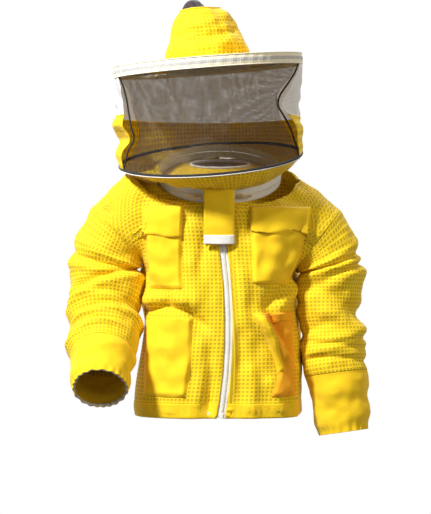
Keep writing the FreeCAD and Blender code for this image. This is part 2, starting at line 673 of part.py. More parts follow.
def build():
    solid_at = jacket_cache()
    nodes = jacket_nodes(solid_at)
    nodes.update(front_zip_nodes())
    nodes.update(neck_zip_nodes())
    nodes.update(collar_nodes())
    nodes["hanger_loop"] = hanger_loop()
    nodes.update(hat_nodes())
    nodes.update(veil_nodes(solid_at))
    nodes.update(throat_nodes())
    nodes["throat_loop_left"], nodes["throat_loop_right"] = throat_loops(solid_at)
    nodes.update(sleeve_nodes("left", LEFT_ARMHOLE, LEFT_ARMHOLE_OUT, LEFT_ELBOW_RINGS,
                              LEFT_LOWER_RINGS, LEFT_CUFF_END))
    nodes.update(sleeve_nodes("right", RIGHT_ARMHOLE, RIGHT_ARMHOLE_OUT, RIGHT_ELBOW_RINGS,
                              RIGHT_LOWER_RINGS, RIGHT_CUFF_END))
    nodes.update(chest_nodes(solid_at, "left", CHEST_POCKET_LEFT, CHEST_FLAP_LEFT, CHEST_TAPE_LEFT))
    nodes.update(chest_nodes(solid_at, "right", CHEST_POCKET_RIGHT, CHEST_FLAP_RIGHT, CHEST_TAPE_RIGHT))
    nodes["lower_pocket_left"] = pocket(solid_at, LOWER_POCKET_LEFT, LOWER_POCKET_DEPTH)
    nodes["lower_pocket_right"] = pocket(solid_at, LOWER_POCKET_RIGHT, LOWER_POCKET_DEPTH)
    return nodes


os.makedirs("parts", exist_ok=True)
for node, shape in build().items():
    shape.exportStep("parts/" + node + ".step")
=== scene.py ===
import math

import bpy
import numpy as np
from mathutils import Matrix, Vector, noise
from mathutils.bvhtree import BVHTree


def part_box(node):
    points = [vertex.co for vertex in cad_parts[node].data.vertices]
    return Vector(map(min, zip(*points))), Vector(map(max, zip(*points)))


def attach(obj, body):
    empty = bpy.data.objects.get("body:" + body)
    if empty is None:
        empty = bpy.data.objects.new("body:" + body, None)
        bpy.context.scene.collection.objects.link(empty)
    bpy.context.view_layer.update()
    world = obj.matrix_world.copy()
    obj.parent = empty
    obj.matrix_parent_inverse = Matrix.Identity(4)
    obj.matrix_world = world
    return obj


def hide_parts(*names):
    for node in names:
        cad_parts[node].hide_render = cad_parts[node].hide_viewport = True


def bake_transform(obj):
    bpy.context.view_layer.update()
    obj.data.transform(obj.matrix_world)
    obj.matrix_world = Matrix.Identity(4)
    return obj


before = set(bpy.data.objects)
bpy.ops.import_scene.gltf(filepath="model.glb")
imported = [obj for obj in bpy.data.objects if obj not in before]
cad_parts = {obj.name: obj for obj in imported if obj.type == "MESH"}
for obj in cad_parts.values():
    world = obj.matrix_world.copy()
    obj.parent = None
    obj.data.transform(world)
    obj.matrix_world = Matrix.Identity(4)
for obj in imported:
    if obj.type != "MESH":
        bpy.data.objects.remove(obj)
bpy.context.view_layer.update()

# A ventilated beekeeping jacket and its round-hat veil hood, in metres.
# The front faces -Y and the wearer's left side is +X.

MM = 0.001
MESH_PITCH = 7.6 * MM          # the ventilated cloth's square cells
CLOTH = 1.6 * MM
THIN_CLOTH = 1.0 * MM
TWILL = 0.75 * MM
STITCH_LENGTH = 2.2 * MM
STITCH_GAP = 1.3 * MM
STITCH_RADIUS = 0.38 * MM

NECK_CENTRE = Vector((0, 0, 33)) * MM
NECK_PITCH = math.radians(25)
NECK_RADIUS = 118 * MM
NECK_TAPE = 14 * MM
HAT_CENTRE = Vector((-23, -15, 242)) * MM
HAT_TILT = Matrix.Rotation(math.radians(-4.4), 3, "Y") @ Matrix.Rotation(math.radians(3.4), 3, "X")
HOOP_CENTRE = Vector((-18, -10, 60)) * MM
HOOP_TILT = Matrix.Rotation(math.radians(-4.4), 3, "Y") @ Matrix.Rotation(math.radians(12.7), 3, "X")
NECK_TILT = Matrix.Rotation(NECK_PITCH, 3, "X")
BRIM_RADIUS = 182 * MM
HOOP_RADIUS = 178 * MM
VEIL_SPREAD = math.radians(72)
HOOD_BACK_TOP = 142 * MM
CHEST_CENTRE = Vector((0, 0, -75)) * MM
ZIP_HALF = 7.5 * MM
TOOTH_PITCH = 2.9 * MM
ZIP_RADIUS = 1027 * MM
ZIP_CENTRE = Vector((-1011, 0, -260.4)) * MM
ARMHOLE_RADIUS = 69 * MM
FRONT_Y_AT_TOP = -101 * MM     # the zip's side line
FRONT_Y_AT_HEM = -120 * MM
PANEL_TOP = -29.6 * MM         # under the neck zip's front
ARMHOLES_LOW = -180 * MM
BAND_LOW, BAND_HIGH = -11, 9   # millimetres from the brim
VEIL_DROP = -10.5 * MM         # from the brim to the veil's upper edge
SLEEVE_SPLIT, CUFF_START, CUFF_END = 1.5, 5.0, 6.0    # ring positions along a sleeve
RING_SPACING = 46              # millimetres along a sleeve from ring to ring, about
FOLD_STRENGTH = 1.6
SLEEVE_FOLD_STRENGTH = 1.25

# How finely the cloth is divided
ROWS_BELOW_CHEST = 66
ROWS_ABOVE_CHEST = 54
SMOOTHING_PASSES = 6
ROUND_SLEEVE = 108
ROUND_HAT = 132
ROUND_COLLAR = 120
HEM_ROWS = 12
HEM_STITCH_ROW = 2

HEM_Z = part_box("front_panel_left")[0].z
ZIP_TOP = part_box("zip_tape_left")[1]
ZIP_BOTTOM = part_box("zip_tape_left")[0]


# --- small helpers ---

def smooth(low, high, value):
    """0 below low, 1 above high, and a soft rise between."""
    t = min(max((value - low) / (high - low), 0.0), 1.0)
    return t * t * (3 - 2 * t)


def bump(value, centre, width):
    """A soft hump, 1 at its centre."""
    return math.exp(-((value - centre) / width) ** 2)


def mix(a, b, t):
    return a + (b - a) * t


def facing(angle, radius=1.0, height=0.0):
    """A vector that points this way; angles run from the front to the wearer's left."""
    return Vector((radius * math.sin(angle), -radius * math.cos(angle), height))


def turns(count):
    """Angles evenly round a circle."""
    return [2 * math.pi * k / count for k in range(count)]


def wrinkle(point, scale, seed=0.0, stretch=(1, 1, 1)):
    """Soft noise, about -1 to 1."""
    spot = Vector([point[i] * stretch[i] / scale for i in range(3)])
    return noise.noise(spot + Vector((seed, seed * 1.7, seed * 0.3))) * 1.6


def segment_distance(x, z, start, end):
    """How far a point is from a segment, and its share of the way along it."""
    dx, dz = end[0] - start[0], end[1] - start[1]
    share = ((x - start[0]) * dx + (z - start[1]) * dz) / (dx * dx + dz * dz)
    held = min(max(share, 0.0), 1.0)
    return math.hypot(x - start[0] - held * dx, z - start[1] - held * dz), held


def merged(parts):
    """One list of points and one of faces from several pairs of them."""
    verts, faces = [], []
    for points, sides in parts:
        base = len(verts)
        verts += points
        faces += [[base + i for i in side] for side in sides]
    return verts, faces


def new_object(name, verts, faces, uvs=None):
    """A mesh object from lists; uvs holds one (u, v) for each corner of each face."""
    mesh = bpy.data.meshes.new(name)
    mesh.from_pydata([tuple(v) for v in verts], [], faces)
    if uvs is not None:
        layer = mesh.uv_layers.new(name="UVMap")
        layer.data.foreach_set("uv", np.array(uvs, np.float32).reshape(-1))
    mesh.polygons.foreach_set("use_smooth", [True] * len(mesh.polygons))
    mesh.update()
    obj = bpy.data.objects.new(name, mesh)
    bpy.context.scene.collection.objects.link(obj)
    return obj


def grid(name, rows, closed=False, keep=None, uv=None):
    """A quad sheet from rows of points; its UVs are arc lengths in metres."""
    count, across = len(rows), len(rows[0])
    if uv is None:
        uv = arc_uv(rows)
    verts = [point for row in rows for point in row]
    faces, corners = [], []
    for i in range(count - 1):
        for j in range(across if closed else across - 1):
            k = (j + 1) % across
            if keep and not (keep[i][j] and keep[i][k] and keep[i + 1][j] and keep[i + 1][k]):
                continue
            faces.append((i * across + j, i * across + k, (i + 1) * across + k, (i + 1) * across + j))
            last = j + 1
            corners += [uv[i][j], uv[i][last], uv[i + 1][last], uv[i + 1][j]]
    obj = new_object(name, verts, faces, corners)
    return drop_loose(obj) if keep else obj


def arc_uv(rows):
    """Arc lengths along the middle row and the first column, held square."""
    middle = rows[len(rows) // 2]
    along = [0.0]
    for a, b in zip(middle, list(middle[1:]) + [middle[0]]):
        along.append(along[-1] + (Vector(b) - Vector(a)).length)
    down = [0.0]
    column = len(rows[0]) // 2
    for a, b in zip(rows, rows[1:]):
        down.append(down[-1] + (Vector(b[column]) - Vector(a[column])).length)
    return [[(s, d) for s in along] for d in down]


def drop_loose(obj):
    """The same mesh without the points that no face uses."""
    used = set()
    for polygon in obj.data.polygons:
        used.update(polygon.vertices)
    remap = {old: new for new, old in enumerate(sorted(used))}
    mesh, name = obj.data, obj.name
    verts = [mesh.vertices[i].co.copy() for i in sorted(used)]
    faces = [[remap[i] for i in polygon.vertices] for polygon in mesh.polygons]
    corners = [tuple(item.uv) for item in mesh.uv_layers[0].data]
    clean = new_object(name, verts, faces, corners)
    bpy.data.objects.remove(obj)
    clean.name = name
    return clean


def baked(obj):
    """Applies the object's modifiers to its mesh."""
    graph = bpy.context.evaluated_depsgraph_get()
    mesh = bpy.data.meshes.new_from_object(obj.evaluated_get(graph))
    obj.modifiers.clear()
    obj.data = mesh
    return obj


def thicken(obj, thickness, offset):
    modifier = obj.modifiers.new("Thickness", "SOLIDIFY")
    modifier.thickness = thickness
    modifier.offset = offset
    modifier.use_even_offset = False
    return baked(obj)


def tube_along(name, points, radius, sides, closed):
    """A round tube through points."""
    rows = []
    count = len(points)
    for i, point in enumerate(points):
        before = points[i - 1] if (closed or i) else points[i]
        after = points[(i + 1) % count] if (closed or i < count - 1) else points[i]
        along = (after - before).normalized()
        side = along.cross(Vector((0.13, 0.21, 0.97))).normalized()
        up = side.cross(along)
        rows.append([point + (side * math.cos(a) + up * math.sin(a)) * radius for a in turns(sides)])
    if closed:
        rows.append(rows[0])
    return grid(name, rows, closed=True)


def finish_piece(obj, body, look, replaced=()):
    """Gives a piece its material, the body it rides and the CAD nodes it replaces."""
    material, slot = look
    obj.data.materials.clear()
    obj.data.materials.append(material)
    if body:
        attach(obj, body)
    if replaced:
        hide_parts(*replaced)
    return obj


def cloth_piece(name, rows, body, look, replaced=(), thickness=CLOTH, offset=-1.0, closed=False):
    """A finished piece of cloth from rows of points."""
    return finish_piece(thicken(grid(name, rows, closed), thickness, offset), body, look, replaced)


def piping(name, points, radius, sides, closed, body, look, replaced=()):
    """A finished round cord or seam along points."""
    return finish_piece(tube_along(name, points, radius, sides, closed), body, look, replaced)


# --- materials ---

class Nodes:
    """Builds one material's nodes with short calls."""

    def __init__(self, name, roughness=0.85, sheen=0.0):
        self.material = bpy.data.materials.new(name)
        self.material.use_nodes = True
        self.tree = self.material.node_tree
        self.shader = self.tree.nodes["Principled BSDF"]
        self.shader.inputs["Roughness"].default_value = roughness
        self.shader.inputs["Sheen Weight"].default_value = sheen

    def add(self, kind, **values):
        node = self.tree.nodes.new(kind)
        for key, value in values.items():
            setattr(node, key, value)
        return node

    def link(self, source, target):
        self.tree.links.new(source, target)

    def math(self, operation, a, b=0.0, clamp=False):
        node = self.add("ShaderNodeMath", operation=operation, use_clamp=clamp)
        for socket, value in zip(node.inputs, (a, b)):
            if hasattr(value, "is_linked"):
                self.link(value, socket)
            else:
                socket.default_value = value
        return node.outputs[0]

    def uv(self):
        split = self.add("ShaderNodeSeparateXYZ")
        self.link(self.add("ShaderNodeTexCoord").outputs["UV"], split.inputs[0])
        return split.outputs[0], split.outputs[1]

    def noise(self, scale, detail):
        node = self.add("ShaderNodeTexNoise")
        node.inputs["Scale"].default_value = scale
        node.inputs["Detail"].default_value = detail
        node.inputs["Roughness"].default_value = 0.55
        self.link(self.add("ShaderNodeTexCoord").outputs["Object"], node.inputs["Vector"])
        return node.outputs["Fac"]

    def cells(self, coordinate, pitch):
        """0 at a cell's middle and 1 at its edges."""
        scaled = self.math("FRACT", self.math("DIVIDE", coordinate, pitch))
        return self.math("MULTIPLY", self.math("ABSOLUTE", self.math("SUBTRACT", scaled, 0.5)), 2.0)

    def step(self, value, low, high):
        node = self.add("ShaderNodeMapRange", interpolation_type="SMOOTHSTEP")
        self.link(value, node.inputs[0])
        node.inputs[1].default_value = low
        node.inputs[2].default_value = high
        return node.outputs[0]

    def blend(self, factor, a, b):
        node = self.add("ShaderNodeMix", data_type="RGBA")
        for socket, value in ((node.inputs[0], factor), (node.inputs[6], a), (node.inputs[7], b)):
            if hasattr(value, "is_linked"):
                self.link(value, socket)
            elif isinstance(value, (int, float)):
                socket.default_value = value
            else:
                socket.default_value = (*value, 1.0)
        return node.outputs[2]

    def colour(self, value):
        self.link(value, self.shader.inputs["Base Color"])

    def bump(self, height, distance, strength=1.0):
        node = self.add("ShaderNodeBump")
        node.inputs["Strength"].default_value = strength
        node.inputs["Distance"].default_value = distance
        self.link(height, node.inputs["Height"])
        self.link(node.outputs["Normal"], self.shader.inputs["Normal"])


def lattice(nodes, pitch, low, high):
    """1 on the lines of a square net and 0 in its holes."""
    u, v = nodes.uv()
    return nodes.step(nodes.math("MAXIMUM", nodes.cells(u, pitch), nodes.cells(v, pitch)), low, high)


def mesh_cloth():
    """Three-layer cloth: a bright coarse net over its open middle layer, with painted shade darkening the
    holes.
    """
    # hole is the colour seen down the open cells, darkened as painted shade for their depth
    thread, hole = (1.0, 0.72, 0.0), (0.50, 0.32, 0.0)
    nodes = Nodes("ventilated_mesh", roughness=0.8, sheen=0.05)
    wobble = nodes.noise(260, 2)
    lines = lattice(nodes, MESH_PITCH, 0.42, 0.80)
    fine = lattice(nodes, MESH_PITCH / 4, 0.35, 0.75)
    shade = nodes.noise(9, 3)
    # The middle layer in the holes: the painted shade colour, lighter on its own finer threads
    bottom = nodes.blend(nodes.math("MULTIPLY", fine, 0.55), hole, (0.86, 0.60, 0.0))
    threads = nodes.blend(nodes.math("MULTIPLY", wobble, 0.35), thread, (0.95, 0.64, 0.0))
    cloth = nodes.blend(lines, bottom, threads)
    toned = nodes.blend(nodes.math("MULTIPLY", shade, 0.22), cloth, (0.86, 0.52, 0.0))
    nodes.colour(toned)
    height = nodes.math("ADD", nodes.math("MULTIPLY", lines, 0.8), nodes.math("MULTIPLY", fine, 0.2))
    nodes.bump(height, 1.1 * MM, 0.7)
    return nodes.material


def plain_cloth(name, light, dark):
    """Tight poly-cotton twill with small puckers."""
    nodes = Nodes(name, roughness=0.82, sheen=0.06)
    u, v = nodes.uv()
    diagonal = nodes.cells(nodes.math("ADD", u, v), TWILL)
    across = nodes.cells(nodes.math("SUBTRACT", u, v), TWILL * 1.7)
    weave = nodes.math("MULTIPLY", diagonal, nodes.math("ADD", nodes.math("MULTIPLY", across, 0.4), 0.6))
    shade = nodes.noise(14, 4)
    factor = nodes.math("ADD", nodes.math("MULTIPLY", weave, 0.22), nodes.math("MULTIPLY", shade, 0.35))
    nodes.colour(nodes.blend(factor, light, dark))
    pucker = nodes.noise(75, 2)
    height = nodes.math("ADD", nodes.math("MULTIPLY", weave, 0.25), nodes.math("MULTIPLY", pucker, 0.75))
    nodes.bump(height, 1.2 * MM, 0.5)
    return nodes.material


def tape_cloth(name, light, dark, pitch):
    """Woven tape with ribs across it."""
    nodes = Nodes(name, roughness=0.75)
    u, v = nodes.uv()
    ribs = nodes.cells(u, pitch)
    rows = nodes.cells(v, pitch * 0.6)
    weave = nodes.math("MULTIPLY", ribs, rows)
    nodes.colour(nodes.blend(nodes.math("MULTIPLY", weave, 0.55), light, dark))
    nodes.bump(weave, 0.4 * MM, 0.6)
    return nodes.material


def net_cloth(name, thread, pitch, hole_alpha, shade=None, edges=(0.52, 0.72)):
    """A see-through net: threads over open holes."""
    nodes = Nodes(name, roughness=0.7)
    lines = lattice(nodes, pitch, *edges)
    shadow = nodes.noise(6, 3)
    if shade is None:
        nodes.shader.inputs["Base Color"].default_value = (*thread, 1)
    else:
        nodes.colour(nodes.blend(shadow, thread, shade))
    alpha = nodes.math("ADD", nodes.math("MULTIPLY", lines, 1.0 - hole_alpha), hole_alpha, clamp=True)
    nodes.link(alpha, nodes.shader.inputs["Alpha"])
    return nodes.material


def hard_material(name, colour, roughness, metallic=0.0):
    nodes = Nodes(name, roughness=roughness)
    nodes.shader.inputs["Metallic"].default_value = metallic
    grain = nodes.noise(400, 2)
    darker = tuple(c * 0.8 for c in colour)
    nodes.colour(nodes.blend(nodes.math("MULTIPLY", grain, 0.5), colour, darker))
    nodes.bump(grain, 0.15 * MM, 0.4)
    return nodes.material


def band_material():
    """Cream cloth with a fine black and white net stripe along its middle."""
    nodes = Nodes("brim_band_cloth", roughness=0.8)
    u, v = nodes.uv()
    stripe = nodes.math("MULTIPLY", nodes.step(v, 6.0 * MM, 7.0 * MM),
                        nodes.math("SUBTRACT", 1.0, nodes.step(v, 12.5 * MM, 13.5 * MM)))
    net = lattice(nodes, 1.7 * MM, 0.45, 0.75)
    dots = nodes.blend(net, (0.06, 0.06, 0.06), (0.80, 0.79, 0.74))
    ribs = nodes.math("MULTIPLY", nodes.cells(u, 3.1 * MM), 0.35)
    cream = nodes.blend(ribs, (0.93, 0.88, 0.68), (0.74, 0.67, 0.44))
    nodes.colour(nodes.blend(stripe, cream, dots))
    nodes.bump(nodes.cells(u, 3.1 * MM), 0.8 * MM, 0.5)
    return nodes.material


# Each material paired with a slot name, which is not applied to the pieces
YELLOW_MESH = mesh_cloth(), "yellow_mesh"
YELLOW_PLAIN = plain_cloth("yellow_twill", (1.0, 0.68, 0.0), (0.93, 0.52, 0.0)), "yellow_plain"
ORANGE_PLAIN = plain_cloth("orange_twill", (1.0, 0.46, 0.0), (0.90, 0.34, 0.0)), "orange_pocket"
WHITE_TAPE = tape_cloth("white_tape", (0.86, 0.85, 0.80), (0.62, 0.60, 0.55), 1.5 * MM), "white_tape"
HOOK_TAPE = tape_cloth("hook_tape", (0.92, 0.91, 0.87), (0.72, 0.70, 0.65), 1.1 * MM), "hook_loop"
TEETH = hard_material("white_teeth", (0.85, 0.84, 0.79), 0.45), "white_teeth"
SLIDER = hard_material("slider_metal", (0.72, 0.58, 0.34), 0.35, 0.8), "slider_metal"
WIRE = hard_material("spring_wire", (0.55, 0.55, 0.56), 0.3, 0.9), "wire"
CREAM = plain_cloth("cream_band", (0.92, 0.88, 0.70), (0.76, 0.70, 0.50)), "cream_band"
BAND = band_material(), "cream_band"
BLACK_NET = net_cloth("black_net", (0.012, 0.012, 0.014), 2.2 * MM, 0.10, edges=(0.68, 0.86)), "black_net"
CROWN_NET = net_cloth("crown_net", (0.035, 0.02, 0.03), 2.2 * MM, 0.75), "black_net"
BLACK_BINDING = plain_cloth("black_binding", (0.02, 0.02, 0.02), (0.008, 0.008, 0.008)), "black_net"
PALE_NET = net_cloth("pale_net", (0.93, 0.93, 0.92), 2.6 * MM, 0.50, (0.70, 0.70, 0.70)), "pale_net"
THREAD = hard_material("thread", (0.98, 0.72, 0.02), 0.6), "yellow_plain"


# --- the jacket's surface ---

ARMHOLES = {
    "left": (Vector((192, 0, -95)) * MM, Vector((110, 0, -85)).normalized()),
    "right": (Vector((-200, 0, -84)) * MM, Vector((-103, 0, -100)).normalized()),
}

# Folds on the front, in millimetres: two or three points, width and height.
# A height below zero is a crease.
FRONT_FOLDS = [
    ([(-150, -236), (-108, -222), (-62, -232), (-22, -268)], 8, -8),
    ([(-146, -218), (-100, -205), (-56, -218)], 15, 7),
    ([(66, -238), (98, -280), (130, -332)], 10, 9),
    ([(84, -230), (120, -282), (146, -330)], 9, -7),
    ([(150, -150), (112, -196), (84, -226)], 10, -6),
    ([(150, -176), (128, -206), (112, -232)], 10, 6),
    ([(-150, -140), (-122, -190), (-86, -214)], 12, -5),
    ([(40, -150), (44, -220), (58, -300)], 12, 4),
    ([(28, -260), (34, -330), (40, -420)], 12, -4),
    ([(56, -330), (62, -380), (58, -430)], 12, 4),
    ([(-40, -280), (-34, -340), (-44, -420)], 12, 4),
    ([(-18, -300), (-16, -360), (-22, -428)], 9, -3),
    ([(-60, -130), (-50, -180), (-46, -230)], 12, 4),
    ([(-14, -60), (-30, -100), (-40, -150)], 9, -3),
    ([(90, -356), (104, -390), (116, -430)], 10, 5),
    ([(-100, -380), (-96, -430)], 14, 4),
    ([(-140, -330), (-150, -428)], 14, 5),
    ([(60, -20), (90, -8), (130, 4)], 10, -4),
    ([(-60, -16), (-90, -4), (-128, 8)], 10, -4),
]


def surface_tree(objects):
    """One search tree over objects' meshes."""
    verts, faces = merged(([v.co.copy() for v in obj.data.vertices], [p.vertices for p in obj.data.polygons])
                          for obj in objects)
    return BVHTree.FromPolygons(verts, faces)


JACKET_TREE = surface_tree(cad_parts[name] for name in (
    "front_panel_left", "front_panel_right", "back_panel", "zip_tape_left", "zip_tape_right"))


def hat_point(angle, radius, height):
    return HAT_CENTRE + HAT_TILT @ facing(angle, radius, height)


def hoop_point(angle, radius, height=0.0):
    return HOOP_CENTRE + HOOP_TILT @ facing(angle, radius, height)


def neck_point(angle, radius, height):
    return NECK_CENTRE + NECK_TILT @ facing(angle, radius, height)


def zip_x(z):
    """The zip's middle at this height."""
    drop = (z - ZIP_CENTRE.z) * 1.001
    return ZIP_CENTRE.x + math.sqrt(ZIP_RADIUS ** 2 - drop ** 2)


def front_line(z):
    """The front's depth on the zip's straight side line."""
    top, low = ZIP_TOP, ZIP_BOTTOM
    return mix(FRONT_Y_AT_TOP, FRONT_Y_AT_HEM, (top.z - z) / (top.z - low.z))


def seam_elevation(azimuth):
    """The upward angle from the chest's centre to the neck seam at this azimuth."""
    low, high = azimuth - 0.6, azimuth + 0.6
    for _ in range(24):
        middle = (low + high) / 2
        point = neck_point(middle, NECK_RADIUS, -NECK_TAPE) - CHEST_CENTRE
        if math.atan2(point.x, -point.y) < azimuth:
            low = middle
        else:
            high = middle
    point = neck_point(middle, NECK_RADIUS, -NECK_TAPE) - CHEST_CENTRE
    return math.atan2(point.z, math.hypot(point.x, point.y)), point + CHEST_CENTRE


def cast(origin, azimuth, elevation):
    """The jacket's outer skin on this ray from its inside, or None at an armhole."""
    ray = facing(azimuth, math.cos(elevation), math.sin(elevation))
    hit = JACKET_TREE.ray_cast(origin + ray * 0.9, -ray)[0]
    if hit is None or (hit - origin).dot(ray) < 0.02:
        return None
    return hit


def armhole_share(point):
    """0 on an armhole's edge, rising to 1 away from it."""
    share = 1.0
    for centre, out in ARMHOLES.values():
        height = (point - centre).dot(out)
        radial = ((point - centre) - out * height).length - ARMHOLE_RADIUS
        share = min(share, smooth(0.0, 38 * MM, math.hypot(height, max(radial, 0.0))))
    return share


def fold_height(point, front):
    """How far the jacket's cloth stands off its smooth shape here."""
    x, z = point.x / MM, point.z / MM
    height = 0.0
    if front:
        for points, width, size in FRONT_FOLDS:
            best, end = 1e9, 1.0
            for index, (a, b) in enumerate(zip(points, points[1:])):
                distance, share = segment_distance(x, z, a, b)
                if distance < best:
                    best = distance
                    total = (index + share) / (len(points) - 1)
                    end = smooth(0, 0.25, total + 0.08) * smooth(0, 0.25, 1.08 - total)
            height += FOLD_STRENGTH * size * end * math.exp(-(best / width) ** 2)
    azimuth = math.atan2(x, -point.y / MM)
    drape = smooth(-180, -420, z)
    height += drape * 3.0 * math.sin(azimuth * 9 + math.sin(z / 60) * 1.2)
    lowest = (-390, -330) if x > 0 else (-290, -240)
    behind_sleeve = bump(abs(azimuth), 1.95, 0.24) * smooth(-120, -165, z) * smooth(*lowest, z)
    height += 16.0 * behind_sleeve
    height += 4.6 * wrinkle(point, 0.055, 3.0, (1.0, 1.0, 0.45))
    height += 1.8 * wrinkle(point, 0.022, 7.0, (1.0, 1.0, 0.6))
    beside_cuff = bump(azimuth, -1.35, 0.55) * smooth(-215, -265, z) if x < 0 else 0.0
    return (height - beside_cuff * max(0.0, height + 1.0)) * MM


def panel_rows(side_angles, count):
    """Rows of points over a panel; side_angles(z) gives its two azimuths."""
    rows, keep = [], []
    for index in range(ROWS_BELOW_CHEST + ROWS_ABOVE_CHEST + 1):
        if index <= ROWS_BELOW_CHEST:
            z = mix(HEM_Z + 0.6 * MM, CHEST_CENTRE.z, index / ROWS_BELOW_CHEST)
            origin, lift = Vector((0, 0, z)), 0.0
        else:
            origin, lift = CHEST_CENTRE, (index - ROWS_BELOW_CHEST) / ROWS_ABOVE_CHEST
            z = mix(CHEST_CENTRE.z, PANEL_TOP, lift)
        first, last = side_angles(z)
        row, kept = [], []
        for step in range(count + 1):
            azimuth = mix(first, last, step / count)
            if lift >= 1.0:
                point = seam_elevation(azimuth)[1]
            else:
                point = cast(origin, azimuth, lift * seam_elevation(azimuth)[0] if lift else 0.0)
            if point is None and row and z < ARMHOLES_LOW:
                point = row[-1]
            kept.append(point is not None)
            row.append(point or origin)
        rows.append(row)
        keep.append(kept)
    return rows, keep


def snap_to_armholes(rows, keep):
    """Moves the points beside a hole onto the armhole's circle."""
    count, across = len(rows), len(rows[0])
    edge = set()
    for i in range(count):
        for j in range(across):
            if keep[i][j]:
                continue
            for di in (-1, 0, 1):
                for dj in (-1, 0, 1):
                    a, b = i + di, j + dj
                    if 0 <= a < count and 0 <= b < across and keep[a][b]:
                        edge.add((a, b))
    for i, j in edge:
        point = rows[i][j]
        centre, out = ARMHOLES["left" if point.x > 0 else "right"]
        flat = (point - centre) - out * (point - centre).dot(out)
        rows[i][j] = centre + flat.normalized() * ARMHOLE_RADIUS
    return edge


def displaced(rows, keep, fixed, front):
    """Adds the folds along the sheet's own normals."""
    count, across = len(rows), len(rows[0])
    result = []
    for i in range(count):
        line = []
        for j in range(across):
            point = rows[i][j]
            if not keep[i][j] or (i, j) in fixed:
                line.append(point)
                continue
            left, right = rows[i][max(j - 1, 0)], rows[i][min(j + 1, across - 1)]
            down, up = rows[max(i - 1, 0)][j], rows[min(i + 1, count - 1)][j]
            normal = (right - left).cross(up - down)
            if normal.length < 1e-9:
                line.append(point)
                continue
            normal.normalize()
            if normal.dot(point - CHEST_CENTRE) < 0:
                normal = -normal
            edge = armhole_share(point) * smooth(0, 8, count - 1 - i)
            near_zip = smooth(ZIP_HALF, 26 * MM, abs(point.x - zip_x(point.z))) if front else 1.0
            line.append(point + normal * fold_height(point, front) * edge * near_zip)
        result.append(line)
    return result


def body_uv(rows, keep):
    """Arc lengths across from the panel's middle and up from its hem, so that cells stay square."""
    across = len(rows[0])
    middle = across // 2
    widths = [2.0 * MM] * (across - 1)
    heights = [0.0] * across
    table = []
    for i, row in enumerate(rows):
        for j in range(across - 1):
            if keep[i][j] and keep[i][j + 1]:
                widths[j] = (row[j + 1] - row[j]).length
        if i:
            climbs = [(row[j] - rows[i - 1][j]).length if keep[i][j] and keep[i - 1][j] else None
                      for j in range(across)]
            known = [climb for climb in climbs if climb is not None]
            usual = sum(known) / len(known)
            heights = [old + (usual if climb is None else climb) for old, climb in zip(heights, climbs)]
        along = [0.0]
        for width in widths:
            along.append(along[-1] + width)
        table.append([(s - along[middle], height) for s, height in zip(along, heights)])
    return table


def relaxed(rows, keep, fixed):
    """Smooths the sheet where it crosses from the body to the shoulders' rounds."""
    count, across = len(rows), len(rows[0])
    for _ in range(SMOOTHING_PASSES):
        smoothed = [list(row) for row in rows]
        for i in range(1, count - 1):
            for j in range(1, across - 1):
                around = ((i - 1, j), (i + 1, j), (i, j - 1), (i, j + 1))
                if (i, j) in fixed or not keep[i][j] or not all(keep[a][b] for a, b in around):
                    continue
                mean = sum((rows[a][b] for a, b in around), Vector()) / 4
                smoothed[i][j] = rows[i][j].lerp(mean, 0.6)
        rows = smoothed
    return rows


def make_panel(name, angles, count, front):
    rows, keep = panel_rows(angles, count)
    fixed = snap_to_armholes(rows, keep)
    rows = relaxed(rows, keep, fixed)
    uv = body_uv(rows, keep)
    return grid(name, displaced(rows, keep, fixed, front), keep=keep, uv=uv)


def jacket_panels():
    """Two fronts and a back, each one sheet of ventilated mesh."""
    def left_sides(z):
        return math.atan2(zip_x(z) + ZIP_HALF, -front_line(z)), math.pi / 2

    def right_sides(z):
        return -math.pi / 2, math.atan2(zip_x(z) - ZIP_HALF, -front_line(z))

    def back_sides(_):
        return math.pi / 2, 3 * math.pi / 2

    pieces = {}
    for name, angles, count, front in (
            ("front_left", left_sides, 64, True),
            ("front_right", right_sides, 64, True),
            ("back", back_sides, 110, False)):
        pieces[name] = make_panel("jacket_" + name, angles, count, front)
    return pieces


# --- sleeves ---

# (centre, direction, radius) of each ring, in millimetres, from armhole to wrist
SLEEVES = {
    "left": [
        ((192, 0, -95), (110, 0, -85), 69),
        ((208, -2, -138), (0.35, -0.03, -0.94), 62),
        ((213, -3, -168), (0.02, -0.04, -1), 60),
        ((215, -10, -268), (0.02, -0.08, -1), 60),
        ((219, -16, -312), (0.08, -0.12, -1), 62),
        ((225, -22, -356), (0.12, -0.12, -1), 59),
        ((240, -34, -468), (0.14, -0.10, -1), 46),
    ],
    "right": [
        ((-200, 0, -84), (-103, 0, -100), 70),
        ((-218, -2, -128), (-0.3, -0.03, -0.95), 67),
        ((-222, -4, -160), (-0.02, -0.08, -1), 67),
        ((-222, -50, -255), (0, -0.66, -0.75), 67),
        ((-223, -80, -287), (0, -0.72, -0.69), 67),
        ((-223, -109, -316), (0, -0.72, -0.69), 61),
        ((-222, -168, -374), (0, -0.74, -0.67), 50),
    ],
}

